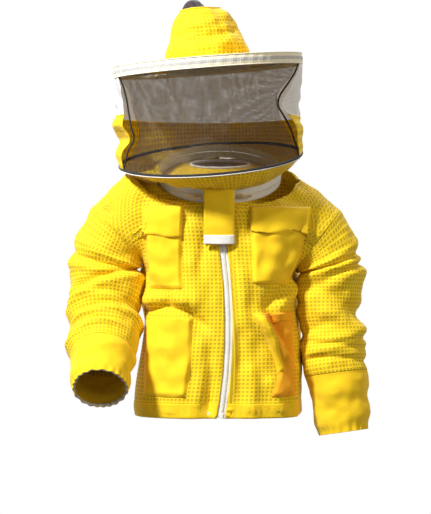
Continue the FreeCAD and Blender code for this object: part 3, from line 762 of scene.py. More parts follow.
# Folds round each sleeve: ring position, slant, width and height in
# millimetres, and the angle round the sleeve where the fold is strongest.
SLEEVE_FOLDS = {
    "left": [
        (1.05, 10, 7, 5, 180), (1.45, 16, 8, -6, 170), (1.75, 20, 9, 7, 190), (2.05, 22, 7, -7, 180),
        (2.25, 18, 9, 7, 200), (2.48, -14, 7, -6, 160), (2.70, -16, 9, 6, 180), (2.95, 12, 8, -5, 200),
        (3.30, 14, 10, 5, 150), (3.70, -12, 9, -5, 190), (4.05, 14, 10, 5, 210), (4.5, -10, 8, -4, 170),
        (5.3, 10, 9, 4, 180), (5.6, -12, 8, -4, 200), (2.1, -10, 10, 5, 0), (2.6, 10, 10, -5, 0),
    ],
    "right": [
        (1.0, -10, 8, 4, 180), (1.5, -16, 8, -5, 200), (1.95, -12, 10, 6, 190), (2.22, 16, 7, -9, 180),
        (2.42, 18, 9, 8, 180), (2.62, -12, 7, -7, 190), (2.80, -14, 9, 7, 170), (3.1, 10, 7, -5, 190),
        (3.5, 12, 9, 5, 170), (4.0, -12, 8, -5, 190), (4.45, 10, 9, 5, 200), (5.3, 8, 8, 4, 170),
        (5.6, -10, 7, -4, 190), (2.4, 0, 12, 5, 0), (2.9, 8, 10, -4, 20),
    ],
}


def spline(values, at):
    """A smooth curve through values, at a ring position."""
    last = len(values) - 1
    index = min(int(at), last - 1)
    t = at - index
    before = values[max(index - 1, 0)]
    a, b = values[index], values[index + 1]
    after = values[min(index + 2, last)]
    slope_a, slope_b = (b - before) * 0.5, (after - a) * 0.5
    return (a * (2 * t ** 3 - 3 * t ** 2 + 1) + slope_a * (t ** 3 - 2 * t ** 2 + t)
            + b * (3 * t ** 2 - 2 * t ** 3) + slope_b * (t ** 3 - t ** 2))


def sleeve_point(side, at, angle, inset=0.0):
    """A point of the sleeve's cloth at a ring position; angles run from the rear."""
    rings = SLEEVES[side]
    centre = spline([Vector(ring[0]) for ring in rings], at)
    normal = spline([Vector(ring[1]).normalized() for ring in rings], at).normalized()
    radius = spline([ring[2] for ring in rings], at)
    rear = (Vector((0, 1, 0)) - normal * normal.y).normalized()
    outward = rear * math.cos(angle) + normal.cross(rear) * math.sin(angle)
    spot = (centre + outward * radius) * MM
    height = 0.0
    for fold_at, slant, width, size, strongest in SLEEVE_FOLDS[side]:
        turn = angle - math.radians(strongest)
        along = (at - fold_at) * RING_SPACING - slant * math.sin(turn)
        near = 0.35 + 0.65 * (0.5 + 0.5 * math.cos(turn))
        height += SLEEVE_FOLD_STRENGTH * size * near * math.exp(-(along / width) ** 2)
    height += 3.0 * wrinkle(spot, 0.045, 11.0, (0.6, 0.6, 1.5)) + 1.3 * wrinkle(spot, 0.018, 5.0)
    free = smooth(0.0, 0.55, at)
    if at > CUFF_START:
        last = at - CUFF_START
        gathers = math.sin(angle * 21 + 2 * math.sin(angle * 3)) * 1.5 * smooth(0.72, 0.97, last)
        height = mix(height, height * 0.5, smooth(0.6, 1.0, last)) + gathers
        height += 5.0 * bump(last, 0.72, 0.16)
    edge = 1.0 - 0.6 * bump(at, CUFF_START, 0.12)
    return spot + outward * (height * free * edge - inset) * MM


def sleeve_rows(side, start, end, steps):
    return [[sleeve_point(side, mix(start, end, index / steps), angle) for angle in turns(ROUND_SLEEVE)]
            for index in range(steps + 1)]


def make_sleeves():
    for side in ("left", "right"):
        arm, forearm = "upper_arm_" + side, "forearm_" + side
        upper = cloth_piece("sleeve_top_" + side, sleeve_rows(side, 0.0, SLEEVE_SPLIT, 44), None, YELLOW_MESH,
                            ["sleeve_upper_" + side], -CLOTH, closed=True)
        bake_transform(upper)
        lower = cloth_piece("sleeve_length_" + side, sleeve_rows(side, SLEEVE_SPLIT, CUFF_START, 120), None,
                            YELLOW_MESH, ["sleeve_elbow_" + side, "sleeve_lower_" + side], -CLOTH,
                            closed=True)
        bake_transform(lower)
        cloth_piece("cuff_cloth_" + side, sleeve_rows(side, CUFF_START, CUFF_END, 64), forearm, YELLOW_PLAIN,
                    ["cuff_" + side], -THIN_CLOTH, closed=True)
        elastic = [[sleeve_point(side, 5.84 + 0.025 * row, angle, 2.4) for angle in turns(ROUND_SLEEVE)]
                   for row in range(7)]
        cloth_piece("elastic_" + side, elastic, forearm, WHITE_TAPE, ["cuff_elastic_" + side], -1.2 * MM,
                    closed=True)
        seam = [sleeve_point(side, 5.03, angle) for angle in turns(ROUND_SLEEVE)]
        piping("cuff_seam_" + side, seam, 1.5 * MM, 6, True, forearm, YELLOW_PLAIN)


# --- hood ---

# (height above the brim, middle, half-width, half-depth) of the crown, in millimetres
CROWN = [(1, -1, 84, 84), (17, 0, 82, 83), (31, 1, 79, 80), (44, 0, 74, 77), (60, -1, 69, 72),
         (78, -2, 62, 66), (90, -3, 57, 60), (100, -5, 49, 53), (108, -9, 38, 43)]
CROWN_CREASES = [(-60, 60, 8, -4), (10, 34, 9, 4), (35, 58, 7, -6), (-15, 74, 8, 5),
                 (60, 84, 9, -4), (-80, 30, 10, 4), (150, 50, 10, -5), (-150, 66, 10, 5)]


def crown_point(angle, share, grow=0.0):
    at = share * (len(CROWN) - 1)
    height, middle, wide, deep = [spline([row[i] for row in CROWN], at) for i in range(4)]
    rough = 0.0
    for centre, level, width, size in CROWN_CREASES:
        turn = (math.degrees(angle) - centre + 180) % 360 - 180
        slanted = height - level - turn * 0.18
        rough += size * math.exp(-(slanted / width) ** 2) * bump(turn, 0, 55)
    spot = Vector((wide * math.sin(angle), -deep * math.cos(angle), height)) * MM
    fade = smooth(0.0, 0.2, share)
    rough += 3.2 * wrinkle(spot, 0.036, 21.0) + 1.8 * wrinkle(spot, 0.017, 4.0)
    rough *= 1.0 - 0.45 * abs(math.sin(angle)) ** 3
    local = Vector((middle * MM, 0, 0)) + spot + facing(angle, 1.0, 0.25) * (rough * fade + grow) * MM
    return HAT_CENTRE + HAT_TILT @ local


def tip_point(angle, share):
    """The crown's top panel, crumpled and higher on the wearer's right."""
    rim = crown_point(angle, 1.0)
    middle = HAT_CENTRE + HAT_TILT @ (Vector((-18, 0, 114)) * MM)
    spot = rim.lerp(middle, share)
    dome = 7 * math.sin(math.pi * min(share, 1.0) * 0.5)
    ridge = 9 * bump(spot.x / MM, -58, 22) * smooth(0, 0.35, share)
    dip = -5 * bump(spot.x / MM, -22, 14) * smooth(0, 0.4, share)
    rough = 2.5 * wrinkle(spot, 0.02, 9.0) * smooth(0, 0.2, share)
    return spot + Vector((0, 0, (dome + ridge + dip + rough) * MM))


def make_hat():
    angles = turns(ROUND_HAT)
    crown = [[crown_point(a, s / 56) for a in angles] for s in range(57)]
    cloth_piece("crown_cloth", crown, "hood", YELLOW_MESH, ["hat_crown"], closed=True)
    tip = grid("crown_top_net", [[tip_point(a, s / 16) for a in angles] for s in range(17)], closed=True)
    finish_piece(tip, "hood", CROWN_NET, ["crown_tip"])
    for name, share, grow, radius in (("crown_top_seam", 1.0, 0.6, 1.7), ("crown_base_seam", 0.01, 0.8, 1.8)):
        line = [crown_point(a, share, grow) for a in angles]
        piping(name, line, radius * MM, 6, True, "hood", YELLOW_PLAIN)

    def brim_point(angle, share):
        radius = mix(80, 180.5, share)
        wave = 1.5 * math.sin(angle * 3 + 0.6) * share + 0.8 * math.sin(share * math.pi * 6)
        return hat_point(angle, radius * MM, wave * MM)

    brim = [[brim_point(a, s / 36) for a in angles] for s in range(37)]
    cloth_piece("brim_cloth", brim, "hood", YELLOW_PLAIN, ["brim"], 2.4 * MM, 0.0, closed=True)

    def band_point(angle, share):
        pucker = 0.6 * math.sin(angle * 57) * math.sin(math.pi * share)
        belly = 1.2 * math.sin(math.pi * share)
        height = mix(BAND_LOW, BAND_HIGH, share)
        return hat_point(angle, BRIM_RADIUS + (0.4 + pucker + belly) * MM, height * MM)

    band = [[band_point(a, s / 12) for a in turns(360)] for s in range(13)]
    cloth_piece("band_round_brim", band, "hood", BAND, ["brim_band"], 0.8 * MM, closed=True)
    for name, height in (("band_edge_low", BAND_LOW), ("band_edge_high", BAND_HIGH)):
        edge = [hat_point(a, BRIM_RADIUS + 0.8 * MM, height * MM) for a in angles]
        piping(name, edge, 1.1 * MM, 6, True, "hood", CREAM)


VEIL_FOLDS = [
    ([(-164, 230), (-113, 195), (-105, 156)], 9, -7),
    ([(-150, 200), (-120, 178), (-112, 140)], 12, 5),
    ([(-156, 160), (-121, 111), (-96, 70)], 9, -6),
    ([(-156, 126), (-152, 60)], 7, 5),
    ([(76, 220), (64, 181), (60, 120)], 9, -6),
    ([(64, 181), (117, 175), (140, 160)], 9, 5),
    ([(110, 230), (122, 150), (118, 80)], 10, -5),
    ([(-40, 225), (-46, 150), (-30, 60)], 14, -4),
    ([(20, 225), (14, 140), (24, 50)], 14, 4),
    ([(-80, 60), (-20, 42), (50, 52)], 9, -4),
]


def seam_pull(angle, z):
    """How far the veil's upright seams are drawn in at this height, in millimetres."""
    turn = (angle + math.pi) % (2 * math.pi) - math.pi
    near = bump(abs(turn), VEIL_SPREAD, 0.30)
    if turn > 0:
        return -near * (33 * bump(z, 172, 42) + 10 * bump(z, 112, 30))
    return near * (10 * bump(z, 190, 34) + 19 * bump(z, 104, 48))


def veil_point(angle, share, front):
    """From the brim band (share 0) down to the hoop (share 1)."""
    top = hat_point(angle, BRIM_RADIUS, VEIL_DROP)
    low = hoop_point(angle, HOOP_RADIUS)
    spot = top.lerp(low, share)
    outward = facing(angle)
    free = math.sin(math.pi * min(max(share, 0), 1)) ** 0.6 if 0 < share < 1 else 0.0
    side = abs(math.sin(angle)) ** 2
    x, z = spot.x / MM, spot.z / MM
    out = 0.0
    if front:
        out -= (4 + 12 * side) * free
        for points, width, size in VEIL_FOLDS:
            best = min(segment_distance(x, z, a, b)[0] for a, b in zip(points, points[1:]))
            out += size * math.exp(-(best / width) ** 2) * free
        out += 4.5 * wrinkle(Vector((angle * 0.18, 0.3, spot.z * 0.45)), 0.05, 2.0) * free
        out += 1.6 * wrinkle(spot, 0.022, 31.0) * free
    else:
        out += (5 * side - 3) * free
        puffs = 13 * bump(z, 122, 20) - 3 * bump(z, 97, 12) + 13 * bump(z, 66, 20)
        out += puffs * side * free * (1.0 if angle > math.pi else 0.55)
        out += 5 * wrinkle(spot, 0.05, 8.0, (1, 1, 1.6)) * free + 2 * wrinkle(spot, 0.02, 3.0) * free
    return spot + outward * out * MM + Vector((seam_pull(angle, z) * free * MM, 0, 0))


def level_share(angle, height):
    """How far down the veil this height is."""
    top = hat_point(angle, BRIM_RADIUS, VEIL_DROP).z
    low = hoop_point(angle, HOOP_RADIUS).z
    return (top - height) / (top - low)


def make_veil():
    def rows(first, last, count, steps, start, end, front):
        angles = [mix(first, last, k / count) for k in range(count + 1)]
        return [[veil_point(a, mix(start(a), end(a), index / steps), front) for a in angles]
                for index in range(steps + 1)]

    top, low = (lambda a: 0.0), (lambda a: 1.0)
    middle = lambda a: level_share(a, HOOD_BACK_TOP)
    front = grid("veil_net_front", rows(-VEIL_SPREAD, VEIL_SPREAD, 150, 76, top, low, True))
    finish_piece(front, "hood", BLACK_NET, ["veil_front"])
    rear_end = 2 * math.pi - VEIL_SPREAD
    rear = grid("veil_net_rear", rows(VEIL_SPREAD, rear_end, 190, 44, top, middle, False))
    finish_piece(rear, "hood", PALE_NET, ["veil_rear"])
    back = rows(VEIL_SPREAD, rear_end, 190, 44, middle, low, False)
    cloth_piece("hood_back_cloth", back, "hood", YELLOW_MESH, ["hood_back"], -CLOTH)
    for name, angle in (("veil_seam_left", VEIL_SPREAD), ("veil_seam_right", rear_end)):
        line = [veil_point(angle, s / 40, True).lerp(veil_point(angle, s / 40, False), 0.4)
                for s in range(41)]
        piping(name, line, 1.8 * MM, 6, False, "hood", BLACK_BINDING)
    line = [veil_point(a, level_share(a, HOOD_BACK_TOP), False)
            for a in (mix(VEIL_SPREAD, rear_end, k / 120) for k in range(121))]
    piping("hood_back_seam", line, 1.6 * MM, 6, False, "hood", YELLOW_PLAIN)
    ring = [hoop_point(a, HOOP_RADIUS - 1 * MM, 1 * MM) for a in turns(160)]
    piping("hoop_casing", ring, 3.0 * MM, 10, True, "hood", BLACK_BINDING, ["veil_hoop"])
    # A thin white cord along the front of the black hoop casing: a painted highlight that stands in for the
    # hoop's glint
    glint = [hoop_point(-VEIL_SPREAD + 2 * VEIL_SPREAD * k / 80, HOOP_RADIUS + 1.6 * MM, -1.4 * MM)
             for k in range(81)]
    piping("hoop_painted_highlight", glint, 0.9 * MM, 6, False, "hood", WHITE_TAPE)


def skirt_point(angle, share):
    start = hoop_point(angle, HOOP_RADIUS - 1 * MM, -1.5 * MM)
    end = neck_point(angle, NECK_RADIUS - 0.4 * MM, NECK_TAPE)
    spot = start.lerp(end, share)
    free = math.sin(math.pi * share)
    gather = 2.0 * math.sin(angle * 34 + 3 * math.sin(angle * 5)) * smooth(0.2, 0.9, share) * free
    sag = -4.0 * free
    return spot + Vector((0, 0, (sag + gather + 2.5 * wrinkle(spot, 0.03, 5.0) * free) * MM))


def make_skirt():
    rows = [[skirt_point(a, s / 26) for a in turns(240)] for s in range(27)]
    cloth_piece("hood_skirt_cloth", rows, "hood", YELLOW_MESH, ["hood_skirt"], CLOTH, 0.0, closed=True)


def make_collar():
    """The inner stand collar and the white binding on its edge."""
    tilt = Matrix.Rotation(math.radians(10), 3, "X")

    def point(angle, share):
        seam = neck_point(angle, 113 * MM, -NECK_TAPE)
        top = Vector((0, 2, 50)) * MM + tilt @ (facing(angle) * 57 * MM)
        spot = seam.lerp(top, share)
        belly = math.sin(math.pi * share)
        return spot + Vector((0, 0, (2.0 * wrinkle(spot, 0.03, 2.0) - 2.5) * belly * MM))

    angles = turns(ROUND_COLLAR)
    stand = [[point(a, s / 30) for a in angles] for s in range(31)]
    cloth_piece("collar_cloth", stand, "jacket", YELLOW_PLAIN, ["collar"], closed=True)
    edge = [point(a, 1.0) + Vector((0, 0, 1 * MM)) for a in angles]
    piping("collar_edge", edge, 2.6 * MM, 8, True, "jacket", WHITE_TAPE, ["collar_binding"])


# --- zips ---

FRONT_NORMAL = Vector((0, -0.99891, 0.04674))
FRONT_UP = Vector((0, 0.04674, 0.99891))


def zip_point(z, across, out):
    """A point beside the front zip's middle, at this height, this far out."""
    drop = z - ZIP_CENTRE.z
    along = math.sqrt(ZIP_RADIUS ** 2 - drop ** 2)
    aim = Vector((along, 0, drop)).normalized()
    spot = Vector((zip_x(z), front_line(z), z))
    return spot + aim * across + FRONT_NORMAL * out


def tooth(place, across, along, out, size):
    """One zip tooth: a small block, narrower at its tip."""
    corners = ((-1, -1), (1, -1), (1, 1), (-1, 1))
    verts = [place + across * (a * size[0] * narrow / 2) + along * (b * size[1] * narrow / 2)
             + out * (size[2] * level) for level, narrow in ((0.0, 1.0), (1.0, 0.7)) for a, b in corners]
    faces = [(3, 2, 1, 0), (4, 5, 6, 7), (0, 1, 5, 4), (1, 2, 6, 5), (2, 3, 7, 6), (3, 0, 4, 7)]
    return verts, faces


def teeth_object(name, places):
    verts, faces = merged(tooth(*place) for place in places)
    obj = new_object(name, verts, faces)
    obj.data.polygons.foreach_set("use_smooth", [False] * len(faces))
    return obj


def make_front_zip():
    top, low = ZIP_TOP.z - 1 * MM, ZIP_BOTTOM.z + 1 * MM
    for side, sign in (("left", 1), ("right", -1)):
        rows = []
        for index in range(161):
            z = mix(top, low, index / 160)
            ripple = 0.5 * math.sin(z / MM / 9) * MM
            depths = [-0.9 * MM + ripple * (s / 6) - 0.5 * MM * (s > 4) for s in range(7)]
            rows.append([zip_point(z, sign * s * 10.5 * MM / 6, depth) for s, depth in enumerate(depths)])
        cloth_piece("front_tape_" + side, rows, "jacket", WHITE_TAPE, ["zip_tape_" + side], 0.7 * MM, 0.0)
        places = []
        z = top - 3 * MM - (TOOTH_PITCH / 2 if sign > 0 else 0)
        while z > low + 12 * MM:
            places.append((zip_point(z, sign * 0.7 * MM, -0.5 * MM), Vector((1, 0, 0)), FRONT_UP,
                           FRONT_NORMAL, (3.6 * MM, 1.7 * MM, 1.6 * MM)))
            z -= TOOTH_PITCH
        finish_piece(teeth_object("front_teeth_" + side, places), "jacket", TEETH, ["zip_teeth_" + side])


def make_neck_zip():
    reach, count = math.radians(135), 200
    up = NECK_TILT @ Vector((0, 0, 1))
    for name, low, high, tooth_height, shift, body in (
            ("lower", -14.0, -0.4, -1.15, 0.0, "jacket"), ("upper", 0.4, 14.0, 1.15, 0.5, "hood")):
        rows = []
        for s in range(9):
            row = []
            for angle in turns(260):
                wave = 0.5 * math.sin(angle * 26) * math.sin(math.pi * s / 8)
                row.append(neck_point(angle, NECK_RADIUS + wave * MM, mix(low, high, s / 8) * MM))
            rows.append(row)
        cloth_piece("neck_band_" + name, rows, body, WHITE_TAPE, ["neck_tape_" + name], 0.9 * MM, 0.0,
                    closed=True)
        places = []
        for k in range(count):
            angle = mix(-reach, reach, (k + shift) / count)
            along = NECK_TILT @ Vector((math.cos(angle), math.sin(angle), 0))
            places.append((neck_point(angle, NECK_RADIUS + 0.3 * MM, tooth_height * MM), up, along,
                           NECK_TILT @ facing(angle), (1.9 * MM, 1.7 * MM, 1.3 * MM)))
        finish_piece(teeth_object("neck_row_" + name, places), body, TEETH, ["neck_teeth_" + name])


def plate(name, outline, thickness, origin, across, up, out, hole=None, rounding=0.5 * MM):
    """A bevelled plate from an outline in its own plane, with an optional hole outline."""
    verts, faces = [], []
    count = len(outline)
    for edge in (outline, hole or ()):
        for level in (0.0, thickness):
            verts += [origin + across * a + up * b + out * level for a, b in edge]
    if hole:
        for k in range(count):
            n = (k + 1) % count
            faces.append((k, n, 2 * count + n, 2 * count + k)[::-1])
            faces.append((count + k, count + n, 3 * count + n, 3 * count + k))
            faces.append((2 * count + k, 2 * count + n, 3 * count + n, 3 * count + k))
    else:
        faces.append(tuple(range(count))[::-1])
        faces.append(tuple(range(count, 2 * count)))
    for k in range(count):
        n = (k + 1) % count
        faces.append((k, n, count + n, count + k))
    obj = new_object(name, verts, faces)
    bevel = obj.modifiers.new("Bevel", "BEVEL")
    bevel.width = rounding
    bevel.segments = 3
    bevel.limit_method = "ANGLE"
    return baked(obj)


def rounded(width, height, corner, middle):
    """A rounded rectangle's outline, its centre this far up."""
    points, steps = [], 4
    for sx, sy, start in ((1, -1, -90), (1, 1, 0), (-1, 1, 90), (-1, -1, 180)):
        for k in range(steps + 1):
            angle = math.radians(start + 90 * k / steps)
            points.append((sx * (width / 2 - corner) + corner * math.cos(angle),
                           middle + sy * (height / 2 - corner) + corner * math.sin(angle)))
    return points


def make_slider(body, pull, across, up, out, pull_length, pull_way):
    """A cast slider body with its bridge, and the pull that hangs from it."""
    low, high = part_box(body)
    middle = (low + high) / 2
    base = middle - out * 1.2 * MM
    shape = [(-4.6, -6.6), (4.6, -6.6), (5.4, -2), (5.4, 4), (3.4, 6.8), (-3.4, 6.8), (-5.4, 4), (-5.4, -2)]
    shape = [(a * MM, b * MM) for a, b in shape]
    cast_body = plate("body_of_" + body, shape, 2.0 * MM, base, across, up, out)
    finish_piece(cast_body, body, SLIDER, [body])
    arch = [base + out * (2.0 + 1.7 * math.sin(math.pi * k / 8)) * MM + up * mix(-4.5, 4.5, k / 8) * MM
            for k in range(9)]
    piping("bridge_of_" + body, arch, 0.9 * MM, 8, False, body, SLIDER)
    pivot = middle + out * 2.6 * MM + pull_way * 1.0 * MM
    side = out.cross(pull_way)
    outline = rounded(6.0 * MM, pull_length, 1.8 * MM, pull_length / 2 - 1 * MM)
    hole = rounded(3.0 * MM, pull_length * 0.55, 1.2 * MM, pull_length * 0.36)
    tab = plate("tab_of_" + body, outline, 1.1 * MM, pivot, side, pull_way, out, hole, 0.25 * MM)
    finish_piece(tab, pull, SLIDER, [pull])


def make_sliders():
    make_slider("front_slider", "front_pull", Vector((1, 0, 0)), FRONT_UP, FRONT_NORMAL, 24 * MM, -FRONT_UP)
    ring_up = NECK_TILT @ Vector((0, 0, 1))
    for side, at, way in (("left", 18, 1), ("right", -20, -1)):
        angle = math.radians(at)
        along = NECK_TILT @ Vector((math.cos(angle), math.sin(angle), 0)) * way
        make_slider("neck_slider_" + side, "neck_pull_" + side, ring_up, along, NECK_TILT @ facing(angle),
                    22 * MM, along)


# --- pockets, flaps and bands ---

def on_front(tree, x, z, stand_off):
    """The front's skin at x and z, moved out by the stand-off."""
    hit, normal, _, _ = tree.ray_cast(Vector((x, -0.4, z)), Vector((0, 1, 0)))
    if hit is None:
        return None
    if normal.y > 0:
        normal = -normal
    lean = Vector((normal.x * 0.6, min(normal.y, -0.5), 0)).normalized()
    return hit + lean * stand_off


def nearest_on_front(tree, x, middle, z, lift):
    """A point on the front in millimetres, or past its side the level of the last point on it."""
    for step in range(12):
        held = mix(x, middle, step / 11)
        point = on_front(tree, held * MM, z * MM, lift * MM)
        if point is not None:
            return point + Vector(((x - held) * MM, 0, 0))
    return Vector((x, -110, z)) * MM


def scan(outline, z):
    """The outline's leftmost and rightmost x at this height."""
    found = []
    for (x0, z0), (x1, z1) in zip(outline, outline[1:] + outline[:1]):
        if (z0 - z) * (z1 - z) <= 0 and z0 != z1:
            found.append(mix(x0, x1, (z - z0) / (z1 - z0)))
    return min(found), max(found)


def patch(name, tree, outline, depth, edge=9.0, rough=1.5, wave=None, across=40, down=48, top_open=True):
    """A cloth patch over an outline in millimetres on the front, standing off in its middle."""
    top, low = max(z for x, z in outline), min(z for x, z in outline)
    rows, uvs = [], []
    for i in range(down + 1):
        t = i / down
        z = mix(top - 0.01, low + 0.01, t)
        left, right = scan(outline, z)
        row, uv = [], []
        for k in range(across + 1):
            s = k / across
            x = mix(left, right, s)
            drop = wave(s) * smooth(0.4, 1.0, t) if wave else 0.0
            sides = min(x - left, right - x)
            reach = min(sides, (z - low), 1e3 if top_open else top - z)
            lift = 0.9 + depth * smooth(0.0, edge, reach)
            lift += rough * wrinkle(Vector((x, 0, z)) * MM, 0.026, 40.0) * smooth(0, edge, reach)
            row.append(nearest_on_front(tree, x, (left + right) / 2, z + drop, lift))
            uv.append((x * MM, z * MM))
        rows.append(row)
        uvs.append(uv)
    return grid(name, rows, uv=uvs)


def stitches(name, points, body):
    """A row of short raised threads along a line."""
    pitch = STITCH_LENGTH + STITCH_GAP
    travelled = 0.0
    verts, faces = [], []
    for a, b in zip(points, points[1:]):
        run = (b - a).length
        if run < 1e-7:
            continue
        way = (b - a) / run
        at = -travelled % pitch
        while at + STITCH_LENGTH <= run + 1e-6:
            first, last = a + way * at, a + way * (at + STITCH_LENGTH)
            side = way.cross(Vector((0.1, -1, 0.2))).normalized() * STITCH_RADIUS
            up = side.cross(way).normalized() * STITCH_RADIUS
            base = len(verts)
            for spot, scale in ((first, 0.4), (first.lerp(last, 0.5), 1.0), (last, 0.4)):
                verts += [spot + side * scale, spot + up * scale, spot - side * scale, spot - up * scale]
            for ring in (0, 4):
                for k in range(4):
                    n = (k + 1) % 4
                    faces.append((base + ring + k, base + ring + n, base + ring + 4 + n, base + ring + 4 + k))
            at += pitch
        travelled += run
    if verts:
        finish_piece(new_object(name, verts, faces), body, THREAD)


CHEST_POCKETS = {
    "left": [(57, -42), (166, -42), (160, -104), (140, -160), (126, -184), (60, -180)],
    "right": [(-142, -42), (-72, -42), (-70, -192), (-134, -192), (-140, -110)],
}
CHEST_FLAPS = {
    "left": [(57, -34), (172, -34), (169, -84), (57, -80)],
    "right": [(-147, -32), (-72, -32), (-72, -90), (-148, -92)],
}
CHEST_TAPES = {"left": (72, 142), "right": (-128, -84)}
LOWER_POCKETS = {
    "left": [(68, -240), (138, -238), (143, -310), (144, -396), (94, -396), (107, -352), (98, -300)],
    "right": [(-142, -250), (-86, -242), (-52, -246), (-54, -330), (-64, -396), (-146, -396)],
}

# The rolled edge of the front's mesh, which laps over the left lower pocket
SIDE_FOLD = [(62, -236), (82, -236), (112, -288), (126, -346), (108, -350), (92, -296)]


def edge_line(tree, start, end, stand_off):
    """Points on the front along a straight line."""
    points, steps = [], 40
    for k in range(steps + 1):
        x, z = mix(start[0], end[0], k / steps), mix(start[1], end[1], k / steps)
        point = on_front(tree, x * MM, z * MM, stand_off * MM)
        if point:
            points.append(point)
    return points


def make_pockets(tree):
    def pouch(name, outline, depth, body, look, replaced=(), thickness=THIN_CLOTH, **shape):
        cover = thicken(patch(name, tree, outline, depth, **shape), thickness, 0.0)
        finish_piece(cover, body, look, replaced)

    flap_wave = {"left": lambda s: -4 * math.sin(s * 7.5) - 3 * s, "right": lambda s: 3 * math.sin(s * 6)}
    for side in ("left", "right"):
        outline = CHEST_POCKETS[side]
        pouch("chest_pouch_" + side, outline, 7.5, "jacket", YELLOW_PLAIN, ["chest_pocket_" + side],
              rough=3.0)
        for index, (a, b) in enumerate(zip(outline, outline[1:] + outline[:1])):
            if abs(a[1] - b[1]) < 1 and a[1] > -60:    # the mouth under the flap has no seam
                continue
            stitches("chest_stitch_%s_%d" % (side, index), edge_line(tree, a, b, 3.4), "jacket")
        left, right = CHEST_TAPES[side]
        strip = [(left, -60), (right, -60), (right, -72), (left, -72)]
        for kind, stand_off, body in (("loop", 8.6, "jacket"), ("hook", 9.9, "chest_flap_" + side)):
            pouch("%s_tape_%s" % (kind, side), strip, stand_off, body, HOOK_TAPE,
                  ["chest_%s_%s" % (kind, side)], 0.6 * MM, edge=0.5, rough=0.0, down=8, top_open=False)
        pouch("chest_cover_" + side, CHEST_FLAPS[side], 11.5, "chest_flap_" + side, YELLOW_PLAIN,
              ["chest_flap_" + side], 1.3 * MM, edge=3, rough=1.8, wave=flap_wave[side], down=26,
              top_open=False)
    pouch("side_pouch_right", LOWER_POCKETS["right"], 5.5, "jacket", YELLOW_PLAIN, ["lower_pocket_right"],
          rough=2.8)
    pouch("side_pouch_left", LOWER_POCKETS["left"], 5.0, "jacket", ORANGE_PLAIN, ["lower_pocket_left"],
          rough=2.5)
    pouch("side_pouch_hem_left", [(72, -237), (138, -235), (139, -252), (79, -254)], 6.6, "jacket",
          ORANGE_PLAIN, edge=2.5, top_open=False, down=12)
    stitches("side_hem_stitch_left", edge_line(tree, (81, -251), (137, -249), 8.6), "jacket")
    pouch("side_fold_left", SIDE_FOLD, 11.0, "jacket", YELLOW_PLAIN, (), CLOTH, edge=9, top_open=False,
          across=24)


def dress_cad_nodes():
    """Materials for the CAD nodes that show as they are."""
    for look, names in ((WIRE, ["brim_wire"]),
                        (WHITE_TAPE, ["sweatband", "hanger_loop", "hem_elastic"]),
                        (TEETH, ["zip_box", "neck_stop_left", "neck_stop_right"]),
                        (HOOK_TAPE, ["throat_loop_left", "throat_loop_right"])):
        for name in names:
            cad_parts[name].data.materials[0] = look[0]


def make_throat_flap():
    low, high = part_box("throat_flap")
    top = Vector(((low.x + high.x) / 2, low.y, high.z))
    bottom = Vector((top.x, high.y - 1.5 * MM, low.z))
    width = high.x - low.x
    down = bottom - top
    length = down.length
    down.normalize()
    out = Vector((1, 0, 0)).cross(down).normalized()
    if out.y > 0:
        out = -out

    def point(s, t, lift=0.0):
        across = (s - 0.5) * width
        curl = 3.0 * math.sin(math.pi * s) * (0.4 + 0.6 * t) - 2.0 * smooth(0.86, 1, s)
        crease = 1.4 * wrinkle(Vector((across, t * length, 0)), 0.03, 13.0)
        return top + Vector((across, 0, 0)) + down * (t * length) + out * ((curl + crease + lift) * MM)

    rows = [[point(s / 24, t / 48) for s in range(25)] for t in range(49)]
    cloth_piece("throat_cover", rows, "throat_flap", YELLOW_PLAIN, ["throat_flap"], 1.3 * MM, 0.0)
    rows = [[point(s / 24, mix(0.83, 0.995, t / 8), 1.5) for s in range(25)] for t in range(9)]
    cloth_piece("throat_strip", rows, "throat_flap", HOOK_TAPE, ["throat_hook"], 1.3 * MM, 0.0)
    for name, s in (("throat_stitch_a", 0.07), ("throat_stitch_b", 0.93)):
        line = [point(s, t / 40, 0.9) for t in range(33)]
        stitches(name, line, "throat_flap")


def make_hem(tree_all):
    """The turned hem round the jacket's lower edge, open at the zip."""
    rows = []
    for i in range(HEM_ROWS + 1):
        z = mix(HEM_Z + 28 * MM, HEM_Z + 0.5 * MM, i / HEM_ROWS)
        start = math.atan2(zip_x(z) + ZIP_HALF + 0.5 * MM, -front_line(z))
        end = math.atan2(zip_x(z) - ZIP_HALF - 0.5 * MM, -front_line(z)) + 2 * math.pi
        row = []
        for k in range(241):
            angle = mix(start, end, k / 240)
            ray = facing(angle)
            inside = Vector((0, 0, max(z, HEM_Z + 4 * MM)))
            hit = tree_all.ray_cast(inside + ray * 0.5, -ray)[0]
            if hit is None or hit.dot(ray) < 0:
                hit = row[-1] if row else ray * 0.12
            spot = Vector((hit.x, hit.y, z))
            gather = 0.7 * math.sin(angle * 70) * math.sin(math.pi * i / HEM_ROWS)
            row.append(spot + ray * (1.6 + gather - 1.0 * (i == HEM_ROWS)) * MM)
        rows.append(row)
    cloth_piece("hem_cloth", rows, "jacket", YELLOW_PLAIN, ["hem_band"], 1.4 * MM, 0.0)
    raised = [p + (Vector((p.x, p.y, 0)).normalized() * 0.9 * MM) for p in rows[HEM_STITCH_ROW]]
    stitches("hem_stitch", raised, "jacket")


# --- lights and camera ---

def area_light(name, place, target, size, power, colour=(1, 1, 1)):
    data = bpy.data.lights.new(name, "AREA")
    data.shape = "DISK"
    data.size = size
    data.energy = power
    data.color = colour
    light = bpy.data.objects.new(name, data)
    light.location = place
    light.rotation_euler = (Vector(target) - Vector(place)).to_track_quat("-Z", "Y").to_euler()
    bpy.context.scene.collection.objects.link(light)


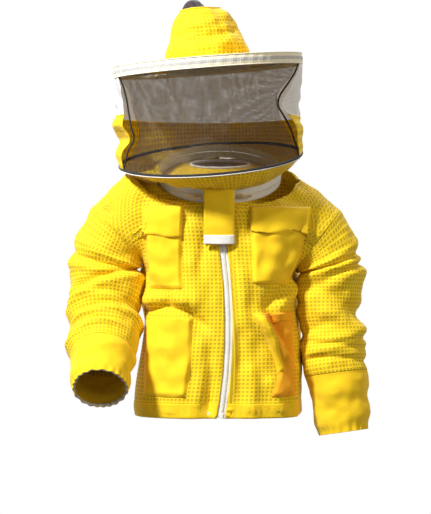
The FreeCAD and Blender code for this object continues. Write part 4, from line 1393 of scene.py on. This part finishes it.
def backdrop():
    """A bright white sheet far behind the jacket."""
    half, away = 10.0, 5.2
    corners = [(-half, away, -half), (half, away, -half), (half, away, half), (-half, away, half)]
    wall = new_object("backdrop", corners, [(0, 1, 2, 3)])
    glow = bpy.data.materials.new("backdrop_glow")
    glow.use_nodes = True
    tree = glow.node_tree
    tree.nodes.clear()
    emission = tree.nodes.new("ShaderNodeEmission")
    emission.inputs["Strength"].default_value = 1.0
    output = tree.nodes.new("ShaderNodeOutputMaterial")
    tree.links.new(emission.outputs[0], output.inputs[0])
    wall.data.materials.append(glow)


def studio():
    scene = bpy.context.scene
    world = bpy.data.worlds.new("Studio")
    world.use_nodes = True
    world.node_tree.nodes["Background"].inputs[0].default_value = (1, 1, 1, 1)
    world.node_tree.nodes["Background"].inputs[1].default_value = 0.22
    scene.world = world
    area_light("Key", (-1.7, -1.7, 1.9), (0, 0, -0.1), 0.4, 160)
    area_light("Fill", (1.9, -1.9, 0.9), (0, 0, -0.1), 0.9, 20, (1, 0.86, 0.68))
    area_light("Rim", (0.6, 1.6, 1.8), (0, 0, 0), 0.9, 30)
    backdrop()
    camera = bpy.data.objects.new("Camera", bpy.data.cameras.new("Camera"))
    camera.data.lens = 125.7
    camera.data.sensor_width = 36
    camera.location = (-0.0088, -3.5, -0.130)
    camera.rotation_euler = (math.radians(90), 0, 0)
    scene.collection.objects.link(camera)
    scene.camera = camera
    scene.render.engine = "CYCLES"
    scene.cycles.samples = 160
    scene.cycles.transparent_max_bounces = 24
    scene.render.resolution_x = 862
    scene.render.resolution_y = 1028
    scene.view_settings.view_transform = "Standard"
    scene.view_settings.look = "None"


def main():
    panels = jacket_panels()
    tree = surface_tree([panels["front_left"], panels["front_right"]])
    tree_all = surface_tree(panels.values())
    make_pockets(tree)
    make_hem(tree_all)
    for name, node in (("front_left", "front_panel_left"), ("front_right", "front_panel_right"),
                       ("back", "back_panel")):
        finish_piece(thicken(panels[name], -CLOTH, -1.0), "jacket", YELLOW_MESH, [node])
    make_sleeves()
    make_hat()
    make_veil()
    make_skirt()
    make_collar()
    make_front_zip()
    make_neck_zip()
    make_sliders()
    make_throat_flap()
    dress_cad_nodes()
    studio()


main()
